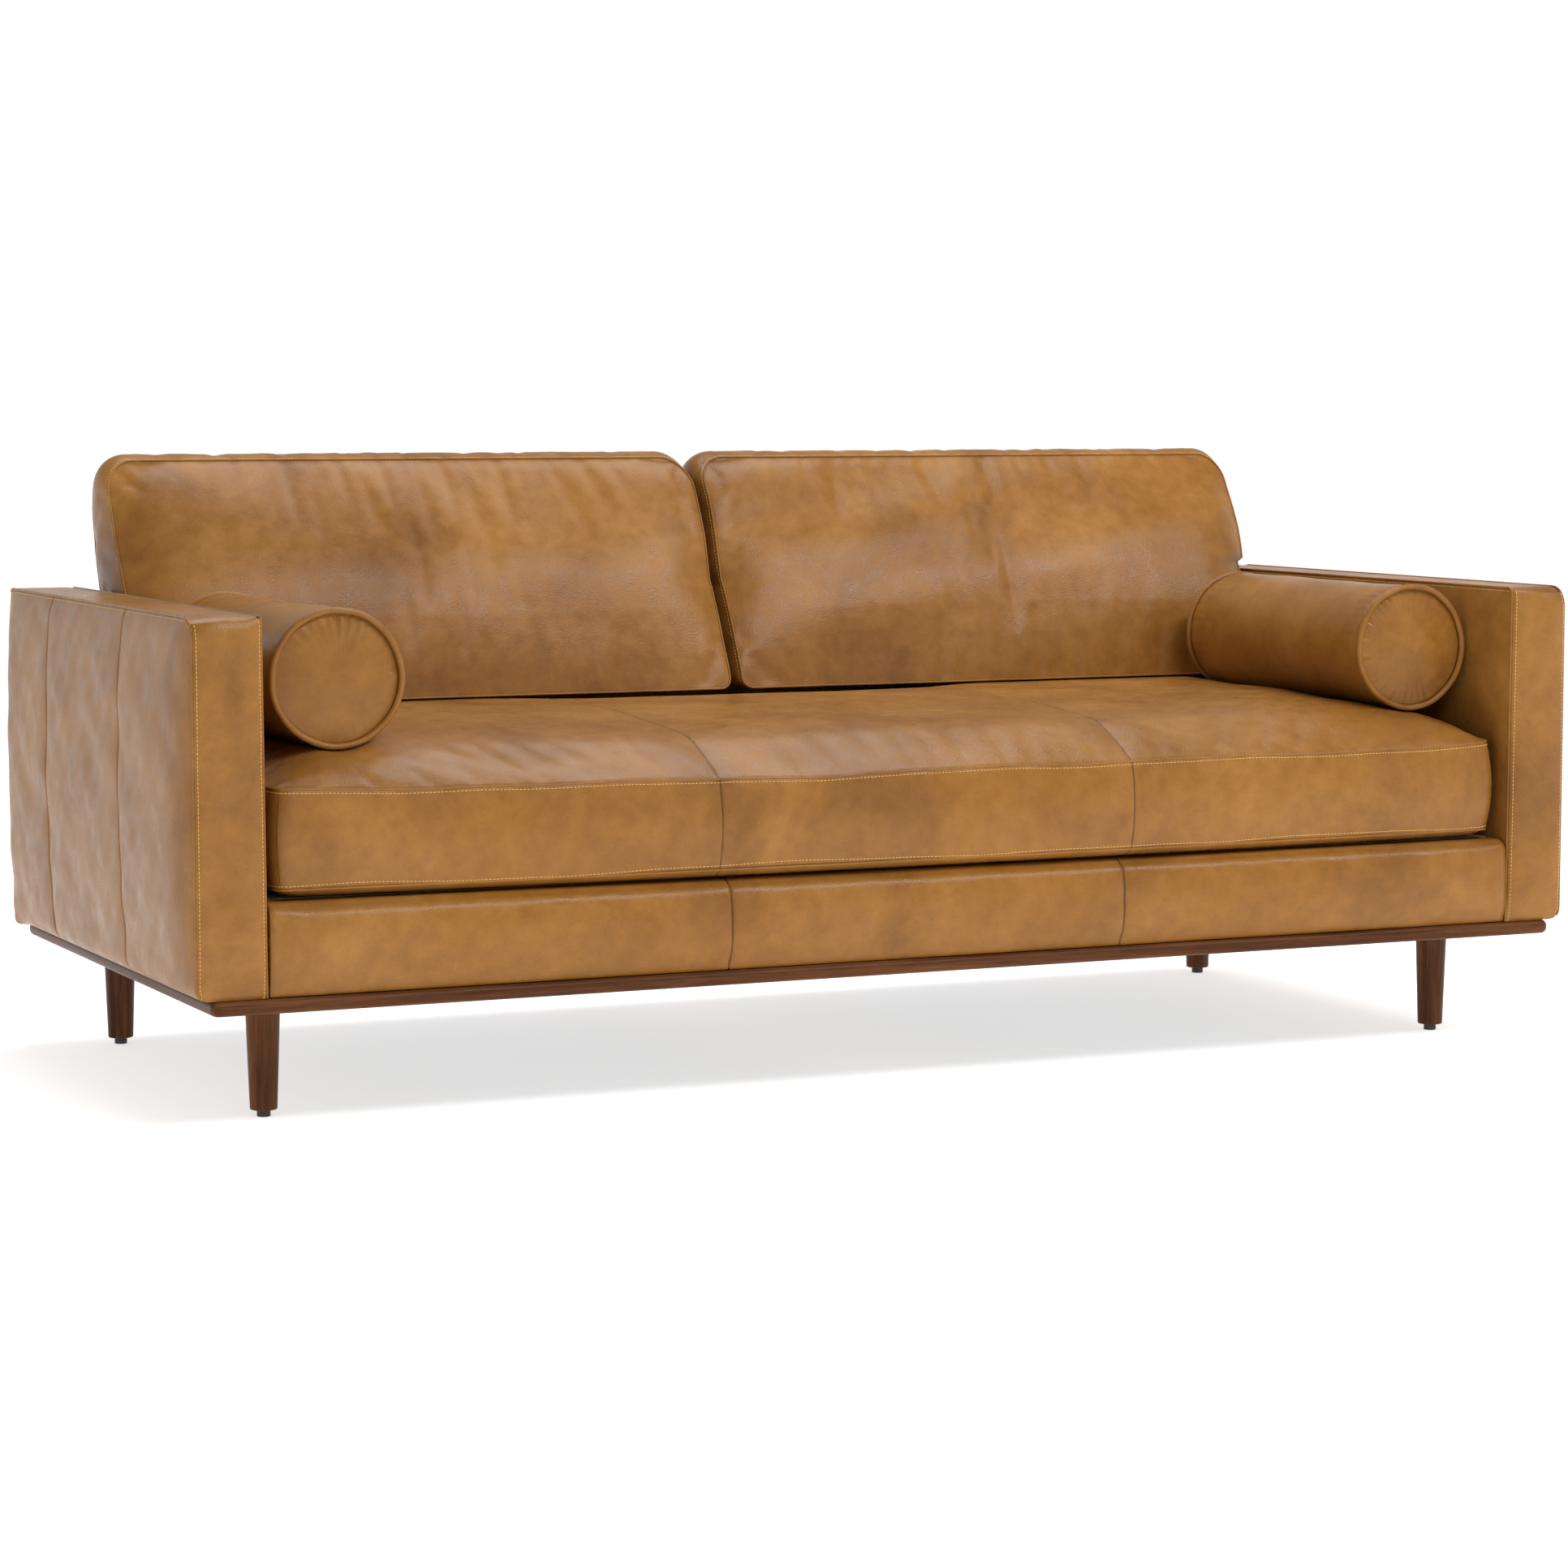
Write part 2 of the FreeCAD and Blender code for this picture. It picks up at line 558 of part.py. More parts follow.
def make_back():
    ribs = []
    for x in RIB_XS:
        corners = ((lean_y(RAIL_TOP, RIB_FACE), RAIL_TOP), (RIB_REAR, RAIL_TOP),
                   (RIB_REAR, RIB_TOP), (lean_y(RIB_TOP, RIB_FACE), RIB_TOP))
        points = [Vector(x - RIB_THICK / 2, y, z) for y, z in corners]
        ribs.append(Part.Face(Part.makePolygon(points + points[:1])).extrude(Vector(RIB_THICK, 0, 0)))
    save("back_ribs", *ribs)
    save("back_top_rail", box(-RAIL_HALF_WIDTH, RAIL_HALF_WIDTH, lean_y(BACK_RAIL_TOP, RIB_FACE),
                              RIB_REAR, RIB_TOP, BACK_RAIL_TOP))
    panel_rear = BACK_PANEL_FRONT + BACK_PANEL_THICK
    save("back_panel", box(-RAIL_HALF_WIDTH, RAIL_HALF_WIDTH, BACK_PANEL_FRONT, panel_rear,
                           ARM_BOTTOM + PAD_INSET, BACK_RAIL_TOP))

    whole = back_block(0)
    core = back_block(LEATHER)
    below = box(-HALF_WIDTH, HALF_WIDTH, BACK_STEP_Y - OVERCUT, BACK_REAR - LEATHER,
                ARM_BOTTOM - OVERCUT, ARM_BOTTOM + ARM_HEM)
    shell = whole.cut(core).cut(below)
    rear_zone = box(-HALF_WIDTH, HALF_WIDTH, BACK_REAR - LEATHER, DEPTH, 0, DEPTH)
    front_zone = box(-HALF_WIDTH, HALF_WIDTH, 0, BACK_REAR - LEATHER, BACK_FACE_LOW[1] + LEATHER, DEPTH)
    save("outside_back_cover", shell.common(rear_zone))
    save("inside_back_cover", shell.common(front_zone))

    strap_pitch = (STRAP_HIGH - STRAP_LOW) / (STRAP_COUNT - 1)
    front_depth, rear_depth = STRAP_DEPTHS
    straps = []
    for index in range(STRAP_COUNT):
        z = STRAP_LOW + index * strap_pitch
        corners = ((z, front_depth), (z + STRAP_HEIGHT, front_depth),
                   (z + STRAP_HEIGHT, rear_depth), (z, rear_depth))
        points = [Vector(-RAIL_HALF_WIDTH, lean_y(level, depth), level) for level, depth in corners]
        straps.append(Part.Face(Part.makePolygon(points + points[:1])).extrude(
            Vector(2 * RAIL_HALF_WIDTH, 0, 0)))
    save("back_straps", *straps)

    high = BACK_FACE_HIGH[1] - PAD_INSET
    rear = BACK_REAR - PAD_INSET
    depth = PAD_INSET + BACK_FOAM
    corners = ((lean_y(BACK_FOAM_LOW, PAD_INSET), BACK_FOAM_LOW), (lean_y(high, PAD_INSET), high),
               (rear, high), (rear, BACK_FOAM_TURN),
               (lean_y(BACK_RAIL_TOP, depth), BACK_FOAM_TURN),
               (lean_y(BACK_FOAM_LOW, depth), BACK_FOAM_LOW))
    points = [Vector(-RAIL_HALF_WIDTH, y, z) for y, z in corners]
    save("back_foam", Part.Face(Part.makePolygon(points + points[:1])).extrude(
        Vector(2 * RAIL_HALF_WIDTH, 0, 0)))


# ---------------------------------------------------------------- loose cushions

def seat_block(distance):
    """A long boxed cushion with a crowned top, a bowed front and rounded corners."""
    def across(x, z):
        return Vector(x, -DEPTH, z)

    def along(y, z):
        return Vector(-HALF_WIDTH, y, z)

    def plan(x, y):
        return Vector(x, y, 0)

    def end(side):
        """The corners of one end, from the underside to the shoulder of the top."""
        return (across(side * SEAT_UNDER_EDGE, SEAT_BOTTOM), across(side * SEAT_END_EDGE, SEAT_LOW_SEAM),
                across(side * SEAT_HALF_WIDTH, SEAT_END_MIDDLE_Z),
                across(side * SEAT_END_EDGE, SEAT_END_SEAM),
                across(side * SEAT_END_RISE[0], SEAT_END_RISE[1]),
                across(side * SEAT_SHOULDER[0], SEAT_SHOULDER[1]))

    right = end(1)
    left = end(-1)
    section = Part.Wire([
        line(left[0], right[0]),
        line(right[0], right[1]),
        arc(*right[1:4]),
        arc(*right[3:6]),
        arc(right[5], across(0, SEAT_CROWN), left[5]),
        arc(*left[5:2:-1]),
        arc(*left[3:0:-1]),
        line(left[1], left[0]),
    ])
    crown = along(SEAT_CROWN_Y, SEAT_CROWN)
    rear_seam = along(SEAT_REAR, SEAT_FRONT_SEAM)
    front_seam = along(SEAT_CLEAR_FRONT, SEAT_FRONT_SEAM)
    profile = Part.Wire([
        line(along(SEAT_UNDER_FRONT, SEAT_BOTTOM), along(SEAT_UNDER_REAR, SEAT_BOTTOM)),
        line(along(SEAT_UNDER_REAR, SEAT_BOTTOM), along(SEAT_REAR, SEAT_LOW_SEAM)),
        line(along(SEAT_REAR, SEAT_LOW_SEAM), rear_seam),
        arc(rear_seam, along(*SEAT_TOP_REAR), crown),
        arc(crown, along(*SEAT_TOP_FRONT), front_seam),
        line(front_seam, along(SEAT_CLEAR_FRONT, SEAT_LOW_SEAM)),
        line(along(SEAT_CLEAR_FRONT, SEAT_LOW_SEAM), along(SEAT_UNDER_FRONT, SEAT_BOTTOM)),
    ])
    outline = Part.Wire([
        line(plan(-HALF_WIDTH, SEAT_EDGE_FRONT), plan(-HALF_WIDTH, SEAT_REAR)),
        line(plan(-HALF_WIDTH, SEAT_REAR), plan(HALF_WIDTH, SEAT_REAR)),
        line(plan(HALF_WIDTH, SEAT_REAR), plan(HALF_WIDTH, SEAT_EDGE_FRONT)),
        arc(plan(HALF_WIDTH, SEAT_EDGE_FRONT), plan(0, FRONT), plan(-HALF_WIDTH, SEAT_EDGE_FRONT)),
    ])
    block = prism(inset(section, distance), Vector(0, 2 * DEPTH, 0))
    block = block.common(prism(inset(profile, distance), Vector(WIDTH, 0, 0)))
    return block.common(prism(inset(outline, distance), Vector(0, 0, DEPTH)))


def back_cushion_block(side, distance):
    """A leaning back cushion with a crowned face and rounded upper corners."""
    def along(y, z):
        return Vector(-HALF_WIDTH, y, z)

    def face(x, z):
        return Vector(side * x, -DEPTH, z)

    toe = along(BACK_CUSHION_TOE_Y, BACK_CUSHION_BOTTOM)
    points = [along(y, z) for y, z in BACK_CUSHION_SIDE]
    edges = [line(toe, points[0])]
    for index in range(0, len(points) - 1, 2):
        edges.append(arc(*points[index:index + 3]))
    edges.append(line(points[-1], toe))
    profile = Part.Wire(edges)

    inner_low, inner_high = BACK_CUSHION_INNER_EDGES
    outer_low, outer_high = BACK_CUSHION_OUTER_EDGES
    middle_x = (BACK_CUSHION_GAP + BACK_CUSHION_OUTER) / 2
    top = BACK_CUSHION_TOP - BACK_CUSHION_DROP
    shoulder = top - BACK_CUSHION_CORNER
    cut = BACK_CUSHION_CORNER * QUARTER_CUT
    foot = (face(inner_low, BACK_CUSHION_BOTTOM), face(outer_low, BACK_CUSHION_BOTTOM))
    outer = (face(outer_high, shoulder), face(outer_high - cut, top - cut),
             face(outer_high - BACK_CUSHION_CORNER, top))
    inner = (face(inner_high + BACK_CUSHION_CORNER, top), face(inner_high + cut, top - cut),
             face(inner_high, shoulder))
    outline = Part.Wire([
        line(foot[0], foot[1]),
        arc(foot[1], face(BACK_CUSHION_OUTER, BACK_CUSHION_MIDDLE_Z), outer[0]),
        arc(*outer),
        arc(outer[2], face(middle_x, BACK_CUSHION_TOP), inner[0]),
        arc(*inner),
        arc(inner[2], face(BACK_CUSHION_GAP, BACK_CUSHION_MIDDLE_Z), foot[0]),
    ])
    block = prism(inset(profile, distance), Vector(WIDTH, 0, 0))
    return block.common(prism(inset(outline, distance), Vector(0, 2 * DEPTH, 0)))


def bolster_block(x, distance):
    """A round bolster along Y with ends that are shallow domes."""
    radius = BOLSTER_RADIUS - distance
    front = BOLSTER_FRONT + distance
    rear = BOLSTER_REAR - distance
    dome_radius = (radius ** 2 + BOLSTER_CROWN ** 2) / (2 * BOLSTER_CROWN)
    half = radius / 2
    half_rise = math.sqrt(dome_radius ** 2 - half ** 2) - (dome_radius - BOLSTER_CROWN)

    def at(r, y):
        return Vector(x + r, y, BOLSTER_Z)

    wire = Part.Wire([
        line(at(0, front - BOLSTER_CROWN), at(0, rear + BOLSTER_CROWN)),
        arc(at(0, rear + BOLSTER_CROWN), at(half, rear + half_rise), at(radius, rear)),
        line(at(radius, rear), at(radius, front)),
        arc(at(radius, front), at(half, front - half_rise), at(0, front - BOLSTER_CROWN)),
    ])
    return Part.Face(wire).revolve(Vector(x, 0, BOLSTER_Z), Y_AXIS, 360)


def save_cushion(name, block):
    """A leather case around a filling that stops just inside it."""
    case = block(0).cut(block(LEATHER))
    save(name + "_case", case)
    save(name + "_filling", block(PAD_INSET))


def make_cushions():
    save_cushion("seat_cushion", seat_block)
    for side, end in zip(SIDES, ("left", "right")):
        save_cushion("back_cushion_" + end, lambda distance: back_cushion_block(side, distance))
        x = BOLSTER_XS[end]
        save_cushion("bolster_" + end, lambda distance: bolster_block(x, distance))
        rings = []
        ring_radius = BOLSTER_OUTER - BOLSTER_PIPING
        offset = BOLSTER_PIPING + PIPING_GAP
        for y in (BOLSTER_FRONT - offset, BOLSTER_REAR + offset):
            rings.append(Part.makeTorus(ring_radius, BOLSTER_PIPING, Vector(x, y, BOLSTER_Z), Y_AXIS))
        save("bolster_piping_" + end, *rings)


make_plinth()
make_legs()
make_seat_frame()
make_springs()
make_deck()
make_front_cover()
make_arms()
make_back()
make_cushions()
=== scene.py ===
import json
import math

import bpy
import numpy as np
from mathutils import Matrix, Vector

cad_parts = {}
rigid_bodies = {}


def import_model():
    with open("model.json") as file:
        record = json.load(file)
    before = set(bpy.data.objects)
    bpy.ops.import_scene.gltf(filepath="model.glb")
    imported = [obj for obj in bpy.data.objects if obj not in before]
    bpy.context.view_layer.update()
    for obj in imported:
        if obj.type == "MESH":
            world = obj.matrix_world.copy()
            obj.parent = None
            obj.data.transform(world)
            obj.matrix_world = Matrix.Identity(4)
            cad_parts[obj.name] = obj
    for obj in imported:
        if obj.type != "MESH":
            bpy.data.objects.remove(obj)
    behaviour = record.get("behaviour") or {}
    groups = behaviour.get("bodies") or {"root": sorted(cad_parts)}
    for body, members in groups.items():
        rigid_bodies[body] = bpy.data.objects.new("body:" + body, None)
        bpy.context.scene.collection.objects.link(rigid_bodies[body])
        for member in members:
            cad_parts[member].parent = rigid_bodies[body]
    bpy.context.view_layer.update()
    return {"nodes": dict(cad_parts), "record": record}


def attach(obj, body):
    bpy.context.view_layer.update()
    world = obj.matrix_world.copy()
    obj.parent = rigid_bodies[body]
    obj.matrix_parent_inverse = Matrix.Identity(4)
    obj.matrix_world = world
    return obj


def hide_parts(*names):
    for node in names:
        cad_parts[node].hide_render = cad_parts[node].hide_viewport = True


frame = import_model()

SIDES = {"left": -1, "right": 1}

# ---- lattices
FINE = (0.0009, 0.0022, 0.0045, 0.0080)  # lattice lines beside each seam, in metres
STITCH_OFFSET = FINE[2]  # stitches follow this line
CREASE_WIDTH = 0.0012  # how far a seam's sinking and its painted shade reach
SEWN_SHADE = 0.5  # how much painted shade a closed, stitched seam gets beside an open one
PLACES = 6  # decimal places kept in a lattice's stops
TINY = 1e-9
CREASE_DEPTH = 0.0012
PILLOW_CREASE = 0.0010
RAIL_CREASE = 0.0016
LIP_RADIUS = 0.0015  # the rolled lip of a seam
LIP_LIFT = 0.0002
SEEDS = {"seat": 21, "pillow": 31, "arm": (41, 43), "rail": (51, 52), "back": (61, 62),
         "bolster": (71, 73, 75), "deck": 81, "dust": 91}


def stops(ends, cell, seams=()):
    """Values from one end to the other, at most one cell apart, and closer beside each seam."""
    marks = {round(value, PLACES) for value in (*ends, *seams)}
    for seam in seams:
        for offset in FINE:
            for mark in (seam - offset, seam + offset):
                if ends[0] < mark < ends[1]:
                    marks.add(round(mark, PLACES))
    marks = sorted(marks)
    values = [marks[0]]
    for low, high in zip(marks, marks[1:]):
        steps = max(1, math.ceil((high - low) / cell - 10 ** -PLACES))
        values.extend(low + (high - low) * step / steps for step in range(1, steps + 1))
    return np.array(values)


class Lattice:
    """The closed surface of a box of cells. Each vertex has three values, one along each axis of the box."""

    def __init__(self, *axes):
        self.axes = axes
        self.top = [axis[-1] for axis in axes]
        shape = tuple(len(axis) for axis in axes)
        places = np.indices(shape)
        shell = np.zeros(shape, bool)
        for place, count in zip(places, shape):
            shell |= (place == 0) | (place == count - 1)
        self.ids = np.full(shape, -1)
        self.ids[shell] = np.arange(shell.sum())
        self.params = np.stack([axis[place[shell]] for axis, place in zip(axes, places)], axis=1)
        self.faces = np.concatenate([self.quads(axis, end) for axis in range(3) for end in (0, -1)])

    def mirror(self):
        self.faces = self.faces[:, ::-1]

    def layer(self, axis, index):
        """The vertex numbers on one layer across an axis."""
        return np.take(self.ids, index, axis=axis)

    def quads(self, axis, end):
        layer = self.layer(axis, end)
        corners = [layer[:-1, :-1], layer[1:, :-1], layer[1:, 1:], layer[:-1, 1:]]
        if (end == 0) == (axis != 1):
            corners.reverse()
        return np.stack([corner.ravel() for corner in corners], axis=1)

    def ring(self, axis, value):
        """The closed loop of vertices round the box at one value along an axis."""
        layer = self.layer(axis, int(np.abs(self.axes[axis] - value).argmin()))
        return np.concatenate([layer[:-1, 0], layer[-1, :-1], layer[:0:-1, -1], layer[0, :0:-1]])

    def ring_distance(self, axis, value):
        """How far each vertex is from the seam that runs round the box at one end of an axis."""
        others = [n for n in range(3) if n != axis]
        rim = np.min([np.minimum(self.params[:, n] - self.axes[n][0], self.top[n] - self.params[:, n])
                      for n in others], axis=0)
        return np.maximum(np.abs(self.params[:, axis] - value), rim)


def box_lattice(spans, cell, seamed, panels=()):
    """A lattice over three spans. When seamed, it is closer at the box's edges and at the panel seams."""
    axes = []
    for axis, span in enumerate(spans):
        seams = (*span, *panels) if axis == 0 else span
        axes.append(stops(span, cell, seams if seamed else ()))
    return Lattice(*axes)


def along(values, old, new):
    """Values on the old stops brought to the new ones, along the first axis, with smooth slopes."""
    slopes = np.gradient(values, old, axis=0)
    at = np.clip(np.searchsorted(old, new, side="right") - 1, 0, len(old) - 2)
    span = (old[at + 1] - old[at]).reshape(-1, 1, 1)
    t = ((new - old[at]) / span.ravel()).reshape(-1, 1, 1)
    start = (2 * t ** 3 - 3 * t ** 2 + 1) * values[at] + (t ** 3 - 2 * t ** 2 + t) * span * slopes[at]
    end = (3 * t ** 2 - 2 * t ** 3) * values[at + 1] + (t ** 3 - t ** 2) * span * slopes[at + 1]
    return start + end


def carried(field, coarse, fine):
    """A field of vectors on the coarse lattice's vertices, brought to the fine lattice's."""
    found = np.zeros((len(fine.params), 3))
    for axis in range(3):
        across = [n for n in range(3) if n != axis]
        for end in (0, -1):
            values = field[coarse.layer(axis, end)]
            values = along(values, coarse.axes[across[0]], fine.axes[across[0]])
            values = along(values.swapaxes(0, 1), coarse.axes[across[1]], fine.axes[across[1]]).swapaxes(0, 1)
            found[fine.layer(axis, end)] = values
    return found


# ---- shapes
def ripple(points, wavelength, seed, waves=9):
    """Smooth seeded unevenness, mostly from -1 to 1."""
    rng = np.random.default_rng(seed)
    total = np.zeros(len(points))
    for _ in range(waves):
        direction = rng.normal(size=3)
        direction /= np.linalg.norm(direction)
        length = wavelength * rng.uniform(0.7, 1.6)
        total += np.sin(points @ direction * 2 * math.pi / length + rng.uniform(0, 2 * math.pi))
    return total / waves ** 0.5


def rounded(a, b, corner, signs, radius):
    """Draws the square corner of an outline in to a quarter circle. The corner is outermost in both signs."""
    sign_a, sign_b = signs
    past_a = (a - corner[0]) * sign_a + radius
    past_b = (b - corner[1]) * sign_b + radius
    inside = (past_a > 0) & (past_b > 0)
    scale = np.where(inside, np.maximum(past_a, past_b) / np.maximum(np.hypot(past_a, past_b), TINY), 1)
    new_a = corner[0] + sign_a * (past_a * scale - radius)
    new_b = corner[1] + sign_b * (past_b * scale - radius)
    return np.where(inside, new_a, a), np.where(inside, new_b, b)


def rise(distance, reach):
    """From 0 at a seam to 1 well inside the panel."""
    return 1 - np.exp(-np.maximum(distance, 0) / reach)


def from_seams(values, seams):
    """How far each value is from the nearest panel seam."""
    return np.min([np.abs(values - seam) for seam in seams], axis=0)


def pinched(values, seams, depth, reach):
    """How far the leather is drawn in beside the panel seams."""
    return sum(depth * np.exp(-np.abs(values - seam) / reach) for seam in seams)


def unit(vectors):
    return vectors / np.maximum(np.linalg.norm(vectors, axis=1, keepdims=True), TINY)


def outward(a, b, ends_a, ends_b, radius):
    """The outward direction at each point of a rounded outline."""
    from_a = a - np.clip(a, ends_a[0] + radius, ends_a[1] - radius)
    from_b = b - np.clip(b, ends_b[0] + radius, ends_b[1] - radius)
    length = np.maximum(np.hypot(from_a, from_b), TINY)
    return from_a / length, from_b / length


def under(values, ceiling, softness):
    """Values held under a ceiling, with a soft knee."""
    return ceiling - softness * np.logaddexp(0, (ceiling - values) / softness)


# ---- meshes
def new_object(name, points, faces, material=None):
    mesh = bpy.data.meshes.new(name)
    mesh.from_pydata(np.asarray(points).tolist(), [], [list(face) for face in faces])
    mesh.polygons.foreach_set("use_smooth", [True] * len(mesh.polygons))
    if material:
        mesh.materials.append(material)
    mesh.update()
    obj = bpy.data.objects.new(name, mesh)
    bpy.context.scene.collection.objects.link(obj)
    return obj


def rows_of(items, name):
    flat = np.zeros(len(items) * 3)
    items.foreach_get(name, flat)
    return flat.reshape(-1, 3)


def coordinates(obj):
    return rows_of(obj.data.vertices, "co")


def normals(obj):
    return rows_of(obj.data.vertex_normals, "vector")


def push_out(obj, points, heights):
    """Puts a mesh at the points, each moved out along its normal."""
    moved = points + normals(obj) * heights[:, None]
    obj.data.vertices.foreach_set("co", moved.ravel())
    obj.data.update()


def crease_and_painted_shade(obj, distance, depth, sewn=None):
    """Sinks the mesh a little along its seams, and marks them for painted shade in the material.
    The sewn seams are the closed and stitched ones, which get less painted shade than the open creases."""
    nearness = np.exp(-(distance / CREASE_WIDTH) ** 2)
    if sewn is not None:
        nearness = np.maximum(nearness, SEWN_SHADE * np.exp(-(sewn / CREASE_WIDTH) ** 2))
    push_out(obj, coordinates(obj), -(nearness * depth))
    # Painted shade: this mark darkens the leather along the seams and creases in the material.
    mark = obj.data.attributes.new("crease_and_painted_shade", "FLOAT", "POINT")
    mark.data.foreach_set("value", nearness.astype(np.float32))


CLOTH_FRAMES = 20
CLOTH_SETTINGS = {
    "quality": 5,
    "mass": 0.5,
    "tension_stiffness": 18,
    "compression_stiffness": 18,
    "shear_stiffness": 8,
    "bending_stiffness": 2.5,
    "use_pressure": True,
    "uniform_pressure_force": 4.0,
    "vertex_group_mass": "sewn",
}


def puffed(lattice, points, pinned, spare, cap):
    """How far each vertex moves when the cover, cut a little large, is filled and swells."""
    trial = new_object("cloth_trial", points, lattice.faces)
    group = trial.vertex_groups.new(name="sewn")
    group.add([int(n) for n in np.flatnonzero(pinned)], 1.0, "REPLACE")
    cloth = trial.modifiers.new("cloth", "CLOTH")
    for setting, value in CLOTH_SETTINGS.items():
        setattr(cloth.settings, setting, value)
    cloth.settings.effector_weights.gravity = 0
    cloth.settings.shrink_min = -spare
    cloth.point_cache.frame_start = 1
    cloth.point_cache.frame_end = CLOTH_FRAMES
    scene = bpy.context.scene
    for step in range(1, CLOTH_FRAMES + 1):
        scene.frame_set(step)
    shaped = trial.evaluated_get(bpy.context.evaluated_depsgraph_get())
    moved = coordinates(shaped) - points
    scene.frame_set(1)
    bpy.data.objects.remove(trial)
    length = np.linalg.norm(moved, axis=1, keepdims=True)
    return moved * cap * np.tanh(length / cap) / np.maximum(length, TINY)


THREAD_LENGTH = 0.0040
THREAD_PITCH = 0.0052
THREAD_RADIUS = 0.00055
THREAD_LIFT = 0.35  # how much of its radius the thread stands out by
THREAD_STEP = 1e-4  # how far apart two points give the line's direction


def resample(points, normals_at, pitch, closed):
    """Places one pitch apart along a line of points, with the direction and the surface normal at each."""
    if closed:
        points = np.vstack([points, points[:1]])
        normals_at = np.vstack([normals_at, normals_at[:1]])
    steps = np.linalg.norm(np.diff(points, axis=0), axis=1)
    run = np.concatenate([[0], np.cumsum(steps)])
    wanted = np.arange(pitch / 2, run[-1], pitch)
    at = np.stack([np.interp(wanted, run, points[:, n]) for n in range(3)], axis=1)
    up = np.stack([np.interp(wanted, run, normals_at[:, n]) for n in range(3)], axis=1)
    after = np.stack([np.interp(wanted + THREAD_STEP, run, points[:, n]) for n in range(3)], axis=1)
    before = np.stack([np.interp(wanted - THREAD_STEP, run, points[:, n]) for n in range(3)], axis=1)
    return at, unit(after - before), unit(up)


def capsule_points():
    """One stitch along X, with its rings of points and its faces."""
    profile = ((-0.5, 0.0), (-0.42, 0.7), (-0.2, 1.0), (0.2, 1.0), (0.42, 0.7), (0.5, 0.0))
    around = 6
    points = []
    for place, width in profile:
        count = around if width else 1
        for n in range(count):
            angle = 2 * math.pi * n / around
            points.append((place * THREAD_LENGTH, width * THREAD_RADIUS * math.cos(angle),
                           width * THREAD_RADIUS * math.sin(angle)))
    rings = len(profile) - 2
    faces = []
    for n in range(around):
        after = (n + 1) % around
        faces.append((0, 1 + after, 1 + n))
        for ring in range(rings - 1):
            first = 1 + ring * around
            faces.append((first + n, first + after, first + around + after, first + around + n))
        last = 1 + (rings - 1) * around
        faces.append((last + n, last + after, len(points) - 1))
    return np.array(points), faces


def stitched(name, runs, material):
    """All the stitches of one cover, as one object. A run is a line of points, normals, and closed or not."""
    shape, shape_faces = capsule_points()
    all_points = []
    all_faces = []
    for points, up, closed in runs:
        at, ahead, lift = resample(points, up, THREAD_PITCH, closed)
        side = unit(np.cross(lift, ahead))
        lift = np.cross(ahead, side)
        for n in range(len(at)):
            base = len(all_points) * len(shape)
            turned = shape[:, :1] * ahead[n] + shape[:, 1:2] * side[n] + shape[:, 2:] * lift[n]
            all_points.append(turned + at[n] + lift[n] * THREAD_RADIUS * THREAD_LIFT)
            all_faces.extend(tuple(base + v for v in face) for face in shape_faces)
    return new_object(name, np.vstack(all_points), all_faces, material)


def tubes(name, runs, radius, material, around=8):
    """Round tubes along lines of points, as one object: the rolled lip of a seam, or piping."""
    all_points = []
    all_faces = []
    base = 0
    for points, up, closed in runs:
        count = len(points)
        if closed:
            ahead = unit(np.roll(points, -1, axis=0) - np.roll(points, 1, axis=0))
        else:
            ahead = unit(np.gradient(points, axis=0))
        side = unit(np.cross(up, ahead))
        lift = np.cross(ahead, side)
        for n in range(around):
            angle = 2 * math.pi * n / around
            all_points.append(points + radius * (math.cos(angle) * side + math.sin(angle) * lift))
        spans = count if closed else count - 1
        for n in range(around):
            after = (n + 1) % around
            for step in range(spans):
                ahead_step = (step + 1) % count
                all_faces.append((base + n * count + step, base + n * count + ahead_step,
                                  base + after * count + ahead_step, base + after * count + step))
        if not closed:
            all_faces.append(tuple(base + n * count for n in range(around)))
            all_faces.append(tuple(base + n * count + count - 1 for n in reversed(range(around))))
        base += count * around
    return new_object(name, np.vstack(all_points), all_faces, material)


def run_of(obj, ids, closed=False, lift=0.0):
    """The points and normals of a line of an object's vertices."""
    points = coordinates(obj)[ids]
    up = normals(obj)[ids]
    return points + up * lift, up, closed


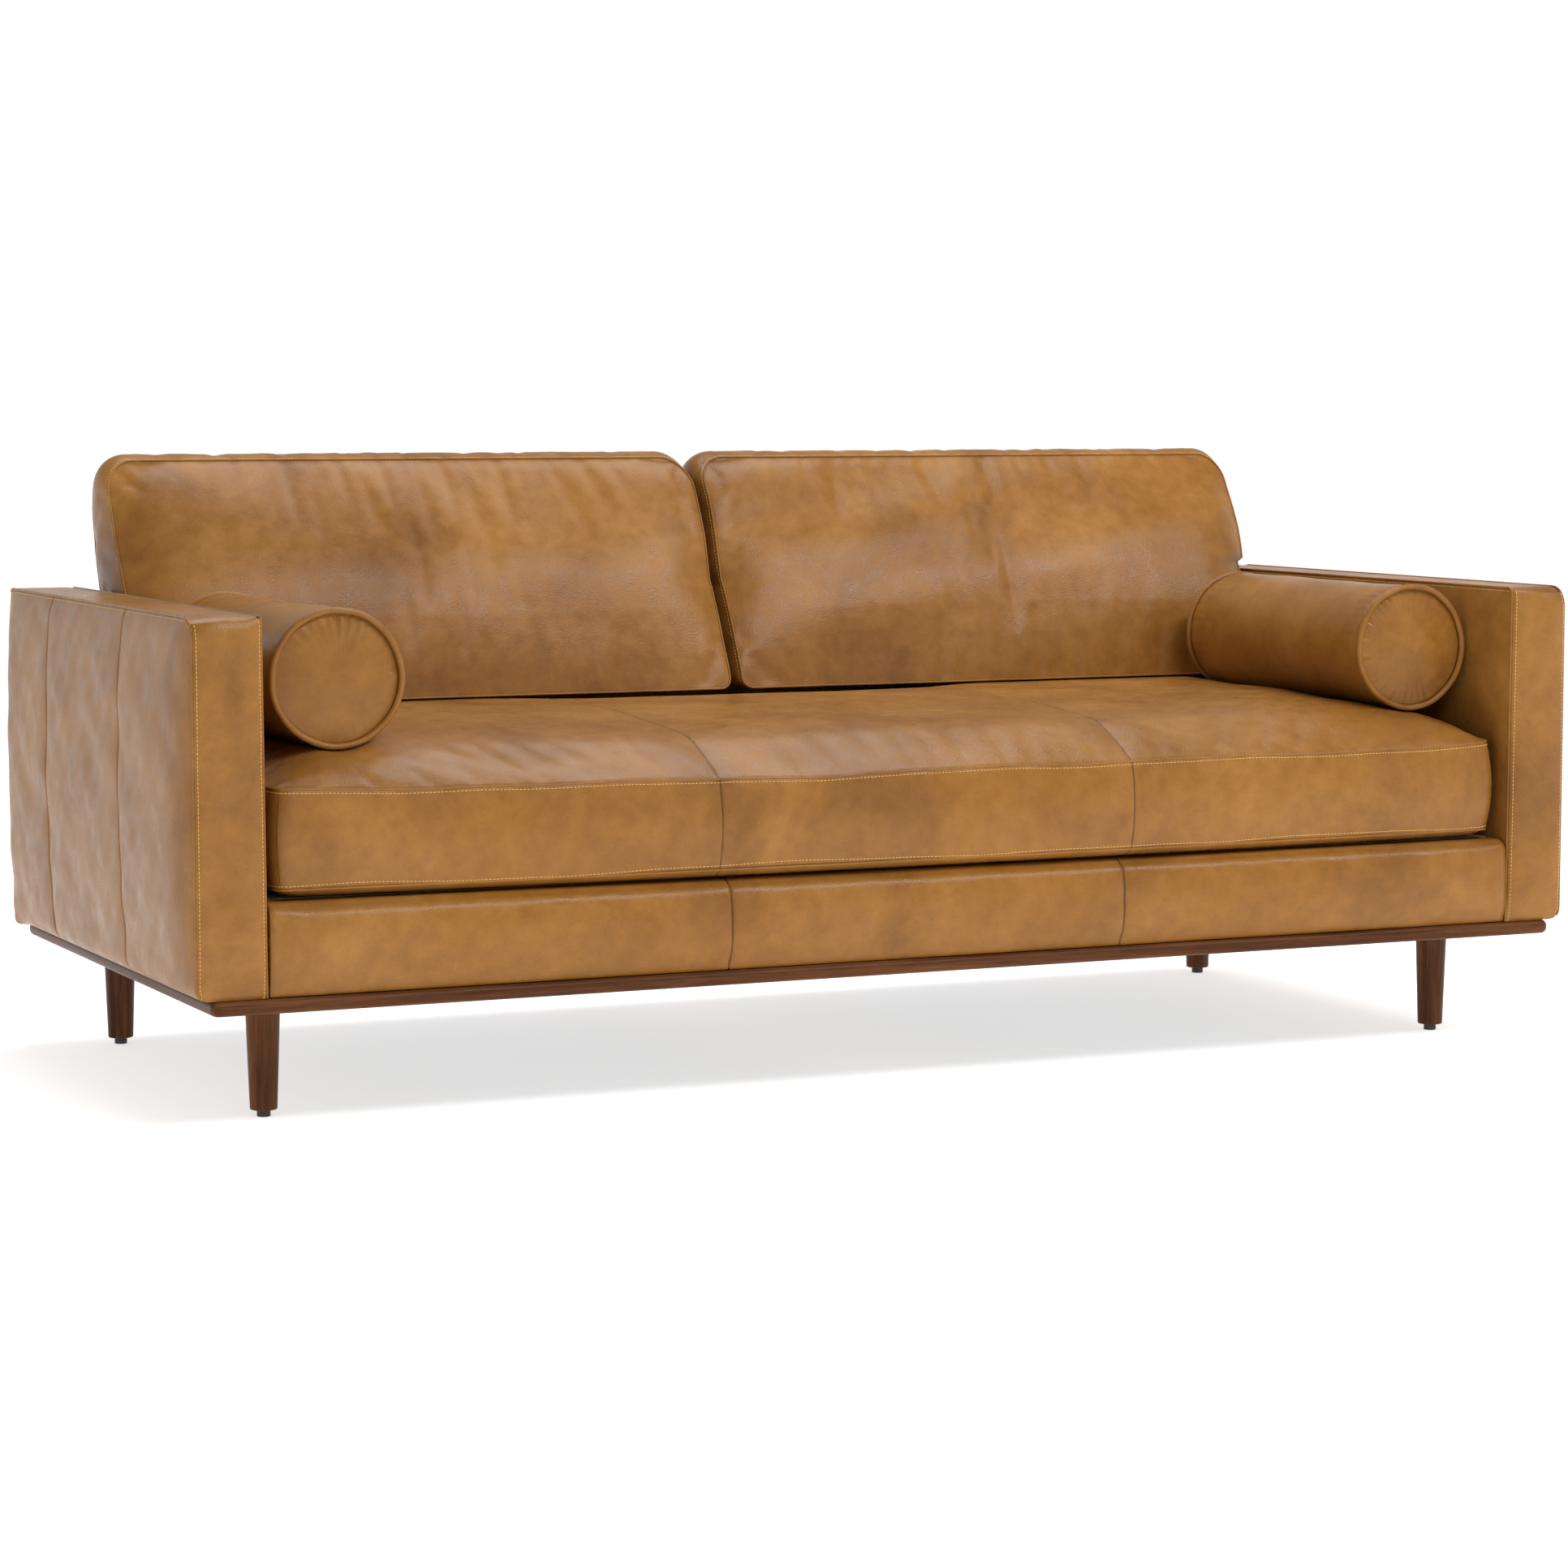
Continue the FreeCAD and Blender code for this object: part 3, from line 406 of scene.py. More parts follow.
# ---- materials
class Nodes:
    """A material's node tree, with short calls for the nodes that it uses."""

    def __init__(self, name):
        self.material = bpy.data.materials.new(name)
        self.material.use_nodes = True
        self.tree = self.material.node_tree
        self.shader = self.tree.nodes["Principled BSDF"]
        self.place = self.add("ShaderNodeTexCoord").outputs["Object"]

    def add(self, kind, **inputs):
        node = self.tree.nodes.new(kind)
        for name, value in inputs.items():
            node.inputs[name.replace("_", " ")].default_value = value
        return node

    def link(self, source, target):
        self.tree.links.new(source, target)

    def set(self, **inputs):
        for name, value in inputs.items():
            self.shader.inputs[name.replace("_", " ")].default_value = value

    def stretched(self, scale, turn=(0, 0, 0)):
        node = self.add("ShaderNodeMapping", Scale=scale, Rotation=turn)
        self.link(self.place, node.inputs["Vector"])
        return node.outputs["Vector"]

    def noise(self, scale, detail=3.0, roughness=0.5, distortion=0.0, place=None):
        node = self.add("ShaderNodeTexNoise", Scale=scale, Detail=detail, Roughness=roughness,
                        Distortion=distortion)
        self.link(place or self.place, node.inputs["Vector"])
        return node.outputs["Fac"]

    def cells(self, scale):
        node = self.add("ShaderNodeTexVoronoi", Scale=scale)
        self.link(self.place, node.inputs["Vector"])
        return node.outputs["Distance"]

    def ramp(self, source, *steps):
        node = self.add("ShaderNodeValToRGB")
        elements = node.color_ramp.elements
        while len(elements) < len(steps):
            elements.new(0.5)
        for element, (position, colour) in zip(elements, steps):
            element.position = position
            element.color = (*colour, 1)
        self.link(source, node.inputs["Fac"])
        return node.outputs["Color"]

    def span(self, source, low, high, to_low, to_high):
        node = self.add("ShaderNodeMapRange", From_Min=low, From_Max=high, To_Min=to_low, To_Max=to_high)
        self.link(source, node.inputs["Value"])
        return node.outputs["Result"]

    def mix(self, share, first, second, blend="MIX"):
        node = self.add("ShaderNodeMixRGB")
        node.blend_type = blend
        for value, target in ((share, "Fac"), (first, "Color1"), (second, "Color2")):
            if isinstance(value, bpy.types.NodeSocket):
                self.link(value, node.inputs[target])
            elif target == "Fac":
                node.inputs[target].default_value = value
            else:
                node.inputs[target].default_value = (*value, 1)
        return node.outputs["Color"]

    def shaded(self, share, colour, source, *steps):
        """A colour multiplied by a ramp of another value."""
        return self.mix(share, colour, self.ramp(source, *steps), "MULTIPLY")

    def bump(self, layers):
        """Layers of height, each with its own strength and depth, one on another."""
        before = None
        for height, strength, depth in layers:
            node = self.add("ShaderNodeBump", Strength=strength, Distance=depth)
            self.link(height, node.inputs["Height"])
            if before:
                self.link(before, node.inputs["Normal"])
            before = node.outputs["Normal"]
        self.link(before, self.shader.inputs["Normal"])

    def colour(self, source):
        self.link(source, self.shader.inputs["Base Color"])

    def roughness(self, source):
        self.link(source, self.shader.inputs["Roughness"])


LEATHER_DARK = (0.150, 0.058, 0.011)
LEATHER_MID = (0.256, 0.109, 0.020)
LEATHER_LIGHT = (0.342, 0.157, 0.036)
LEATHER_GOLD = (0.268, 0.111, 0.015)
# the dark brown of the painted shade in seams and creases
LEATHER_SEAM_SHADE = (0.050, 0.016, 0.004)


def make_leather():
    """Pull-up leather: soft patches of tan, a fine pebble grain, faint scratches and painted shade along the
    seams.
    """
    made = Nodes("leather")
    clouds = made.noise(6.0, detail=6, roughness=0.58, distortion=0.5)
    patches = made.noise(2.6, detail=2, roughness=0.4, distortion=0.6)
    small = made.noise(44, detail=5, roughness=0.60)
    grain = made.cells(430)
    pores = made.noise(900, detail=2, roughness=0.6)
    scratches = made.noise(1.0, detail=6, roughness=0.75, distortion=2.5,
                           place=made.stretched((5, 60, 38), (0.5, 0.3, 0.7)))
    colour = made.ramp(clouds, (0.28, LEATHER_DARK), (0.50, LEATHER_MID), (0.70, LEATHER_LIGHT))
    colour = made.mix(0.25, colour, LEATHER_MID)
    gold = made.span(patches, 0.50, 0.66, 0.0, 0.55)
    colour = made.mix(gold, colour, LEATHER_GOLD)
    colour = made.shaded(0.75, colour, small, (0.36, (0.91, 0.89, 0.86)), (0.64, (1.12, 1.12, 1.12)))
    colour = made.shaded(0.45, colour, scratches, (0.60, (1, 1, 1)), (0.72, (1.22, 1.20, 1.16)))
    colour = made.shaded(0.60, colour, grain, (0.10, (0.82, 0.80, 0.78)), (0.45, (1, 1, 1)))
    # Painted shade: where the seams and creases are marked, the leather is darkened towards a dark brown.
    mark = made.add("ShaderNodeAttribute")
    mark.attribute_name = "crease_and_painted_shade"
    colour = made.mix(made.span(mark.outputs["Fac"], 0.25, 1.0, 0.0, 0.85), colour, LEATHER_SEAM_SHADE)
    made.colour(colour)
    made.roughness(made.span(small, 0.3, 0.7, 0.26, 0.42))
    made.set(Specular_IOR_Level=0.25)
    made.bump([(clouds, 0.35, 0.004), (small, 0.25, 0.0012), (grain, 0.35, 0.0005), (pores, 0.20, 0.0003)])
    return made.material


def make_wood(name, colours, scale, gloss):
    """Wood with streaks along the direction that is least stretched."""
    made = Nodes(name)
    place = made.stretched(scale)
    streaks = made.noise(1.0, detail=8, roughness=0.62, distortion=0.5, place=place)
    figure = made.noise(0.22, detail=3, roughness=0.5, distortion=1.4, place=place)
    pores = made.noise(5.0, detail=3, roughness=0.7, place=place)
    dark, mid, light = colours
    colour = made.ramp(streaks, (0.30, dark), (0.52, mid), (0.74, light))
    colour = made.mix(made.span(figure, 0.40, 0.65, 0.0, 0.55), colour, dark)
    made.colour(made.shaded(0.6, colour, pores, (0.36, (0.62, 0.58, 0.55)), (0.52, (1.0, 1.0, 1.0))))
    made.roughness(made.span(streaks, 0.3, 0.7, gloss, gloss + 0.16))
    made.set(Specular_IOR_Level=0.10)
    made.bump([(streaks, 0.25, 0.0004), (pores, 0.30, 0.0002)])
    return made.material


def make_cloth(name, dark, light, scale, sheen):
    """A plain weave from two crossed sets of waves, with uneven yarn."""
    made = Nodes(name)
    threads = []
    for turn in ((0, 0, 0), (0, 0, math.pi / 2)):
        wave = made.add("ShaderNodeTexWave", Scale=scale, Distortion=0.6, Detail=1.0, Detail_Scale=3.0)
        made.link(made.stretched((1, 1, 1), turn), wave.inputs["Vector"])
        threads.append(wave.outputs["Fac"])
    weave = made.mix(0.5, threads[0], threads[1], "SCREEN")
    uneven = made.noise(60, detail=4)
    colour = made.ramp(weave, (0.15, dark), (0.85, light))
    made.colour(made.shaded(0.6, colour, uneven, (0.3, (0.85, 0.85, 0.85)), (0.7, (1.08, 1.08, 1.08))))
    made.roughness(made.span(uneven, 0.3, 0.7, 0.82, 0.95))
    made.set(Sheen_Weight=sheen)
    made.bump([(weave, 0.4, 0.0004), (uneven, 0.2, 0.0006)])
    return made.material


def make_metal(name, colour, rough):
    """Drawn or plated steel, with fine drawing lines and dull spots."""
    made = Nodes(name)
    lines = made.noise(1.0, detail=5, roughness=0.7, place=made.stretched((40, 400, 400)))
    spots = made.noise(90, detail=3)
    darker = tuple(0.7 * part for part in colour)
    made.colour(made.ramp(spots, (0.35, darker), (0.6, colour)))
    made.roughness(made.span(lines, 0.3, 0.7, rough, rough + 0.2))
    made.set(Metallic=1.0)
    made.bump([(lines, 0.2, 0.0001)])
    return made.material


def make_soft(name, dark, light, scale, rough):
    """Foam, felt, fibre or moulded plastic: fine uneven cells over soft patches."""
    made = Nodes(name)
    cells = made.cells(scale)
    patches = made.noise(12, detail=3)
    colour = made.ramp(cells, (0.1, dark), (0.6, light))
    made.colour(made.shaded(0.5, colour, patches, (0.3, (0.9, 0.9, 0.9)), (0.7, (1.05, 1.05, 1.05))))
    made.roughness(made.span(patches, 0.3, 0.7, rough, min(1.0, rough + 0.12)))
    made.bump([(cells, 0.4, 0.0005)])
    return made.material


def make_thread():
    """Golden waxed thread with a twist."""
    made = Nodes("thread")
    twist = made.noise(1400, detail=2)
    made.colour(made.ramp(twist, (0.35, (0.52, 0.27, 0.05)), (0.65, (0.80, 0.50, 0.15))))
    made.roughness(made.span(twist, 0.3, 0.7, 0.45, 0.6))
    made.bump([(twist, 0.5, 0.0002)])
    return made.material


LEATHER = make_leather()
THREAD = make_thread()
STAIN = ((0.046, 0.014, 0.004), (0.120, 0.042, 0.013), (0.185, 0.074, 0.026))
# A stained frame brown that is also painted shadow: it is dark like leather in shade, so slivers of frame
# showing under the covers read as shade.
FRAME_SHADOW_BROWN = ((0.150, 0.082, 0.036), (0.210, 0.120, 0.056), (0.265, 0.160, 0.080))
WALNUT_X = make_wood("stained_wood_x", STAIN, (4, 90, 90), 0.30)
WALNUT_Y = make_wood("stained_wood_y", STAIN, (90, 4, 90), 0.30)
WALNUT_Z = make_wood("stained_wood_z", STAIN, (90, 90, 5), 0.28)
SLOT_MATERIALS = {
    "stained_wood": WALNUT_X,
    "frame_wood": make_wood("frame_wood", FRAME_SHADOW_BROWN, (4, 50, 50), 0.55),
    "board": make_wood("board", FRAME_SHADOW_BROWN, (30, 30, 30), 0.6),
    "spring_steel": make_metal("spring_steel", (0.16, 0.16, 0.17), 0.35),
    "zinc_steel": make_metal("zinc_steel", (0.55, 0.56, 0.58), 0.30),
    "black_plastic": make_soft("black_plastic", (0.010, 0.010, 0.011), (0.022, 0.022, 0.023), 500, 0.45),
    "black_cloth": make_cloth("black_cloth", (0.008, 0.008, 0.008), (0.035, 0.035, 0.036), 320, 0.2),
    "deck_cloth": make_cloth("deck_cloth", (0.19, 0.095, 0.035), (0.38, 0.22, 0.10), 260, 0.2),
    "felt": make_soft("felt", (0.40, 0.38, 0.34), (0.60, 0.58, 0.52), 260, 0.85),
    "webbing": make_cloth("webbing", (0.01, 0.01, 0.01), (0.05, 0.05, 0.05), 180, 0.1),
    "foam": make_soft("foam", (0.62, 0.58, 0.44), (0.80, 0.77, 0.64), 420, 0.85),
    "filling": make_soft("filling", (0.70, 0.69, 0.64), (0.86, 0.85, 0.80), 300, 0.9),
    "leather": LEATHER,
}


def dress_frame():
    """Gives every CAD node a material by its slot, with the streaks along each piece of stained wood."""
    slots = {row["node"]: row["material_slot"] for row in frame["record"]["subparts"]}
    for name, obj in frame["nodes"].items():
        material = SLOT_MATERIALS[slots[name]]
        if name in ("plinth_left", "plinth_right"):
            material = WALNUT_Y
        if name.startswith("leg_") and name != "leg_rails":
            material = WALNUT_Z
        obj.data.materials.clear()
        obj.data.materials.append(material)


def finish_piece(obj, body, nodes, trim=()):
    """Puts a leather piece and its trim on their body, in place of the CAD nodes it stands for."""
    for piece in (obj, *trim):
        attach(piece, body)
    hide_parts(*nodes)


def dents(points, seeds, wide, small, shift=0):
    """Uneven leather from two sizes of ripple, each a depth and a wavelength."""
    both = zip(seeds, (wide, small))
    return sum(depth * ripple(points, length, seed + shift) for seed, (depth, length) in both)


def blown_up(surface, spans, cells, axis, held, spare, cap, panels=(), mirrored=False):
    """The lattice and points of a cushion's cover, swollen by its filling between its sewn lines.
    One end of the axis is held flat; the rim of the other is sewn."""
    coarse = box_lattice(spans, cells[0], False)
    fine = box_lattice(spans, cells[1], True, panels)
    if mirrored:
        coarse.mirror()
        fine.mirror()
    rim = spans[axis][1] - held
    sewn = (coarse.params[:, axis] == held) | (coarse.ring_distance(axis, rim) == 0)
    moved = puffed(coarse, surface(coarse.params), sewn, spare, cap)
    return fine, surface(fine.params) + carried(moved, coarse, fine)


def sew_cushion(cover, name, fine, axis, levels, first_lift):
    """Adds the stitches and the rolled lips round a cushion's box, and puts it in its place."""
    stitches = [run_of(cover, fine.ring(axis, level), True) for level in levels]
    thread = stitched(f"{name}_stitches", stitches, THREAD)
    seams = ((0, first_lift), (fine.top[axis], LIP_LIFT))
    lines = [run_of(cover, fine.ring(axis, level), True, lift) for level, lift in seams]
    lips = tubes(f"{name}_lips", lines, LIP_RADIUS, LEATHER)
    finish_piece(cover, name, (f"{name}_case", f"{name}_filling"), (thread, lips))


# ---- seat cushion
SEAT_HALF = 0.8925
SEAT_REAR = 0.330
SEAT_FRONT = -0.440  # the seam at the middle; the ends stand back
SEAT_BOW = 0.019
SEAT_DEPTH = SEAT_REAR - SEAT_FRONT
SEAT_LOW = 0.301
SEAT_HIGH = 0.419
SEAT_BOX = SEAT_HIGH - SEAT_LOW
SEAT_BOTTOM = 0.2885
SEAT_SEAMS = (-0.303, 0.303)
SEAT_CORNER = 0.020
SEAT_CELLS = (0.0125, 0.0065)  # the cloth's lattice and the cover's
SEAT_END_LIFT = 0.007  # how much higher the top seam is at its ends
SEAT_BOX_BULGE = 0.0085
SEAT_END_BULGE = 0.0065
SEAT_CROWN = 0.047
SEAT_SWELL = 0.0165  # how much fuller the top is from here back
SEAT_SWELL_DEPTH = 0.62
SEAT_SWELL_END = 0.09
SEAT_SPARE = 0.004
SEAT_CAP = 0.008
SEAT_LIMIT = 0.9035
SEAT_WAVE = 0.0016
BACK_CUSHION_BOTTOM = 0.4846
BOLSTER_X = {"left": -0.782, "right": 0.815}
BOLSTER_Z = 0.555
BOLSTER_ROOM = 0.0920  # the seat keeps this far from each bolster's middle


def seat_surface(params):
    across, deep, high = params.T
    share = high / SEAT_BOX
    x, inward = across.copy(), deep.copy()
    for sign in (-1, 1):
        x, inward = rounded(x, inward, (sign * SEAT_HALF, 0), (sign, -1), SEAT_CORNER)
        x, inward = rounded(x, inward, (sign * SEAT_HALF, SEAT_DEPTH), (sign, 1), SEAT_CORNER)
    out_x, out_y = outward(x, inward, (-SEAT_HALF, SEAT_HALF), (0, SEAT_DEPTH), SEAT_CORNER)
    front = SEAT_FRONT + SEAT_BOW * (x / SEAT_HALF) ** 2
    y = front + (SEAT_REAR - front) * inward / SEAT_DEPTH
    end = (np.abs(x) / SEAT_HALF) ** 4
    seam = SEAT_HIGH + SEAT_END_LIFT * end
    z = SEAT_LOW + (seam - SEAT_LOW) * share
    bulge = 4 * share * (1 - share) * np.where(np.abs(out_x) > 0.7, SEAT_END_BULGE, SEAT_BOX_BULGE)
    x = x + out_x * bulge
    y = y + out_y * bulge
    from_end = SEAT_HALF - np.abs(across)
    from_rear = SEAT_DEPTH - deep
    crown = SEAT_CROWN * rise(deep, 0.042) * rise(from_end, 0.046) * rise(from_rear, 0.03)
    back_share = np.sin(np.clip(deep / SEAT_SWELL_DEPTH, 0, 1) * math.pi / 2) ** 2
    swell = SEAT_SWELL * back_share * rise(from_end - SEAT_SWELL_END, 0.05)
    seams = pinched(across, SEAT_SEAMS, 0.0022, 0.014) * rise(deep, 0.02)
    z = np.where(share == 1, z + crown + swell * rise(from_rear, 0.03) - seams, z)
    sink = (SEAT_LOW - SEAT_BOTTOM) * rise(deep, 0.012) * rise(from_end, 0.012) * rise(from_rear, 0.012)
    z = np.where(share == 0, z - sink, z)
    return np.stack([x, y, z], axis=1)


def seat_kept_low(points):
    """Holds the top under the back cushions and the bolsters, so that the cushion can be pulled out."""
    points[:, 2] = under(points[:, 2], BACK_CUSHION_BOTTOM - 0.0004, 0.0006)
    for middle in BOLSTER_X.values():
        aside = points[:, 0] - middle
        ceiling = BOLSTER_Z - np.sqrt(np.maximum(BOLSTER_ROOM ** 2 - aside ** 2, 0))
        points[:, 2] = under(points[:, 2], ceiling, 0.0008)
    points[:, 0] = np.clip(points[:, 0], -SEAT_LIMIT, SEAT_LIMIT)
    return points


def make_seat_cushion():
    spans = ((-SEAT_HALF, SEAT_HALF), (0, SEAT_DEPTH), (0, SEAT_BOX))
    fine, points = blown_up(seat_surface, spans, SEAT_CELLS, 2, 0, SEAT_SPARE, SEAT_CAP, SEAT_SEAMS)
    points[:, 2] += SEAT_WAVE * ripple(points, 0.16, SEEDS["seat"]) * (fine.params[:, 2] > 0)
    cushion = new_object("seat_cushion_cover", seat_kept_low(points), fine.faces, LEATHER)
    rings = np.minimum(fine.ring_distance(2, 0), fine.ring_distance(2, SEAT_BOX))
    crease_and_painted_shade(cushion, from_seams(fine.params[:, 0], SEAT_SEAMS), CREASE_DEPTH, rings)
    sew_cushion(cushion, "seat_cushion", fine, 2, (SEAT_BOX - STITCH_OFFSET, STITCH_OFFSET), 0.0009)


# ---- back cushions
PILLOW_WIDTH = 0.884
PILLOW_MIDDLE = 0.4515
PILLOW_HEIGHT = 0.325
PILLOW_DEPTH = 0.100
PILLOW_TOP_CORNER = 0.042
PILLOW_LOW_CORNER = 0.016
PILLOW_CELLS = (0.0105, 0.0060)
PILLOW_SPARE = 0.005
PILLOW_CAP = 0.011
PILLOW_WAVE = 0.0018
PILLOW_HIGHEST = 0.8345
PILLOW_INNERMOST = 0.0012
BOX_BULGES = (0.0075, 0.0065, 0.001)  # at the top, at the sides and at the bottom
PILLOW_OUTER_SHIFT = {-1: -0.009, 1: 0.001}  # how much further out the outer side is
OVERHANG = 0.019  # how far the right cushion spreads over its arm
OVERHANG_Z = (0.6535, 0.6590, 0.680, 0.705)
OVERHANG_SHARE = (0.0, 0.62, 0.88, 1.0)
OUTER_LIMIT = 0.9045
FRONT_SEAM_Z = (0.488, 0.8195)
REAR_SEAM_Z = (0.4875, 0.8200)
INNER_SEAM_Z = (0.487, 0.520, 0.550, 0.588, 0.630, 0.641, 0.706, 0.734, 0.764, 0.783, 0.812)
INNER_SEAM_Y = (0.184, 0.198, 0.214, 0.232, 0.258, 0.267, 0.2845, 0.297, 0.3135, 0.326, 0.352)
OUTER_SEAM_Z = (0.487, 0.500, 0.550, 0.600, 0.650, 0.680, 0.725, 0.770, 0.815)
OUTER_SEAM_Y = (0.190, 0.196, 0.224, 0.252, 0.280, 0.300, 0.326, 0.350, 0.370)
CROWN_Z = (0.485, 0.540, 0.600, 0.650, 0.700, 0.750, 0.800, 0.829)
CROWN_Y = (0.181, 0.193, 0.213, 0.236, 0.262, 0.293, 0.327, 0.349)
REAR_Z = (0.4846, 0.540, 0.610, 0.690, 0.750, 0.808, 0.829)
REAR_Y = (0.334, 0.356, 0.386, 0.419, 0.432, 0.424, 0.418)


def above_arm(z):
    """From 0 level with the arm's top to 1 well above it."""
    return np.interp(z, OVERHANG_Z, OVERHANG_SHARE)


def pillow_surface(params, side):
    across, deep, high = params.T
    share = deep / PILLOW_DEPTH
    half = PILLOW_WIDTH / 2
    a, h = across.copy(), high.copy()
    for sign in (-1, 1):
        a, h = rounded(a, h, (sign * half, PILLOW_HEIGHT), (sign, 1), PILLOW_TOP_CORNER)
        a, h = rounded(a, h, (sign * half, 0), (sign, -1), PILLOW_LOW_CORNER)
    top = h > PILLOW_HEIGHT / 2
    radius = np.where(top, PILLOW_TOP_CORNER, PILLOW_LOW_CORNER)
    out_a, out_h = outward(a, h, (-half, half), (0, PILLOW_HEIGHT), radius)
    level = h / PILLOW_HEIGHT
    front_z = FRONT_SEAM_Z[0] + (FRONT_SEAM_Z[1] - FRONT_SEAM_Z[0]) * level
    rear_z = REAR_SEAM_Z[0] + (REAR_SEAM_Z[1] - REAR_SEAM_Z[0]) * level
    outer = a / PILLOW_WIDTH + 0.5
    inner_y = np.interp(front_z, INNER_SEAM_Z, INNER_SEAM_Y)
    outer_y = np.interp(front_z, OUTER_SEAM_Z, OUTER_SEAM_Y)
    seam_y = inner_y * (1 - outer) + outer_y * outer
    rear_y = np.interp(rear_z, REAR_Z, REAR_Y)
    z = front_z * (1 - share) + rear_z * share
    y = seam_y * (1 - share) + rear_y * share
    top_bulge, side_bulge, low_bulge = BOX_BULGES
    bulge = top_bulge * np.maximum(out_h, 0) + side_bulge * np.abs(out_a) + low_bulge * np.maximum(-out_h, 0)
    bulge = 4 * share * (1 - share) * bulge
    z = z + out_h * bulge
    a = a + out_a * bulge
    from_side = half - np.abs(across)
    full = rise(from_side, 0.045) * rise(PILLOW_HEIGHT - high, 0.040) * rise(high, 0.022)
    crown_y = np.interp(front_z, CROWN_Z, CROWN_Y) + 0.002
    y = np.where(share == 0, seam_y + (crown_y - seam_y) * full * 1.05, y)
    y = np.where(share == 1, rear_y - 0.002 * rise(from_side, 0.03) * rise(high, 0.03), y)
    a = a + PILLOW_OUTER_SHIFT[side] * outer ** 2
    if side > 0:
        a = a + OVERHANG * outer ** 5 * above_arm(z)
    return np.stack([side * (PILLOW_MIDDLE + a), y, z], axis=1)


def make_back_cushion(name, side):
    spans = ((-PILLOW_WIDTH / 2, PILLOW_WIDTH / 2), (0, PILLOW_DEPTH), (0, PILLOW_HEIGHT))
    fine, points = blown_up(lambda params: pillow_surface(params, side), spans, PILLOW_CELLS, 1,
                            PILLOW_DEPTH, PILLOW_SPARE, PILLOW_CAP, mirrored=side < 0)
    wave = PILLOW_WAVE * ripple(points, 0.15, SEEDS["pillow"] + side)
    points[:, 1] += wave * (fine.params[:, 1] < PILLOW_DEPTH)
    inner = np.maximum(points[:, 0] * side, PILLOW_INNERMOST)
    points[:, 0] = np.minimum(inner, OUTER_LIMIT + OVERHANG * above_arm(points[:, 2])) * side
    points[:, 2] = np.clip(points[:, 2], BACK_CUSHION_BOTTOM, PILLOW_HIGHEST)
    cushion = new_object(f"{name}_cover", points, fine.faces, LEATHER)
    rings = np.minimum(fine.ring_distance(1, 0), fine.ring_distance(1, PILLOW_DEPTH))
    crease_and_painted_shade(cushion, np.ones(len(rings)), PILLOW_CREASE, rings)
    sew_cushion(cushion, name, fine, 1, (STITCH_OFFSET,), 0.0006)


# ---- arms
ARM_INNER = 0.914
ARM_WIDTH = 0.088
ARM_FRONT = -0.434
ARM_REAR = 0.441
ARM_LENGTH = ARM_REAR - ARM_FRONT
ARM_LOW = 0.1695
ARM_TOP = 0.641
ARM_CROWN = 0.6565
ARM_INNER_ROUND = 0.024  # how far across the strip its inner edge rounds over
ARM_OUTER_ROUND = 0.040
ARM_HEIGHT = ARM_TOP - ARM_LOW
ARM_SEAMS = (0.283, 0.636)  # from the front seam
ARM_FRAME_OUTER = 0.990  # the wood inside, which the rounded bottom edge clears
ARM_FRAME_CLEAR = 0.024
ARM_ROUND_GAIN = 0.031
ARM_CELL = 0.0065
ARM_FRONT_BULGE = 0.010
ARM_TOP_ROUNDS = (0.008, 0.020, 0.028)  # at the inner seam, more at the outer one, more at the crown
ARM_REAR_ROUNDS = (0.014, 0.026)  # at the top and at the bottom
ARM_INNERMOST = 0.9085
ARM_LIP_RADIUS = 0.0016
ARM_BELLY_Z = (0.1695, 0.280, 0.400, 0.520, 0.580, 0.615, 0.632, 0.641)
ARM_BELLY_X = (0.0080, 0.0155, 0.0180, 0.0160, 0.0130, 0.0090, 0.0045, 0.0)


def arm_surface(params, side):
    across, deep, high = params.T
    share = across / ARM_WIDTH
    from_inner = np.minimum(across / ARM_INNER_ROUND, 1)
    from_outer = np.minimum((ARM_WIDTH - across) / ARM_OUTER_ROUND, 1)
    crown = np.sqrt(1 - (1 - from_inner) ** 2) * np.sqrt(1 - (1 - from_outer) ** 2)
    y = ARM_FRONT + deep
    z = ARM_LOW + high
    on_front = deep == 0
    on_top = high == ARM_HEIGHT
    y = np.where(on_front, y - ARM_FRONT_BULGE * crown * rise(high, 0.03), y)
    top_edge = ARM_TOP + (ARM_CROWN - ARM_TOP) * crown
    z = np.where(on_top, top_edge, z)
    front_edge = ARM_FRONT - ARM_FRONT_BULGE * crown
    least, at_outer, at_crown = ARM_TOP_ROUNDS
    y, z = rounded(y, z, (front_edge, top_edge), (-1, 1), least + at_outer * share + at_crown * crown)
    y, z = rounded(y, z, (ARM_REAR, top_edge), (1, 1), ARM_REAR_ROUNDS[0])
    y, z = rounded(y, z, (ARM_REAR, ARM_LOW), (1, -1), ARM_REAR_ROUNDS[1])
    inner_x = ARM_INNER - 0.003 * (1 - high / ARM_HEIGHT)
    well_inside = rise(deep, 0.02) * rise(ARM_HEIGHT - high, 0.02) * rise(ARM_LENGTH - deep, 0.02)
    inner_x = inner_x - 0.0038 * well_inside
    belly = np.interp(z, ARM_BELLY_Z, ARM_BELLY_X) * rise(deep, 0.032) * rise(ARM_LENGTH - deep, 0.018)
    pinch = pinched(deep, ARM_SEAMS, 0.0030, 0.018)
    outer_x = ARM_INNER + ARM_WIDTH + belly - pinch * rise(ARM_HEIGHT - high, 0.05)
    x = inner_x * (1 - share) + outer_x * share
    room = outer_x - ARM_FRAME_OUTER
    from_rear = ARM_REAR - ARM_FRAME_CLEAR - y
    under_round = (room + np.sqrt(room) * ARM_ROUND_GAIN) * (0.2 + 0.8 * rise(from_rear, 0.012))
    x, z = rounded(x, z, (outer_x, ARM_LOW), (1, -1), under_round)
    return np.stack([side * x, y, z], axis=1)


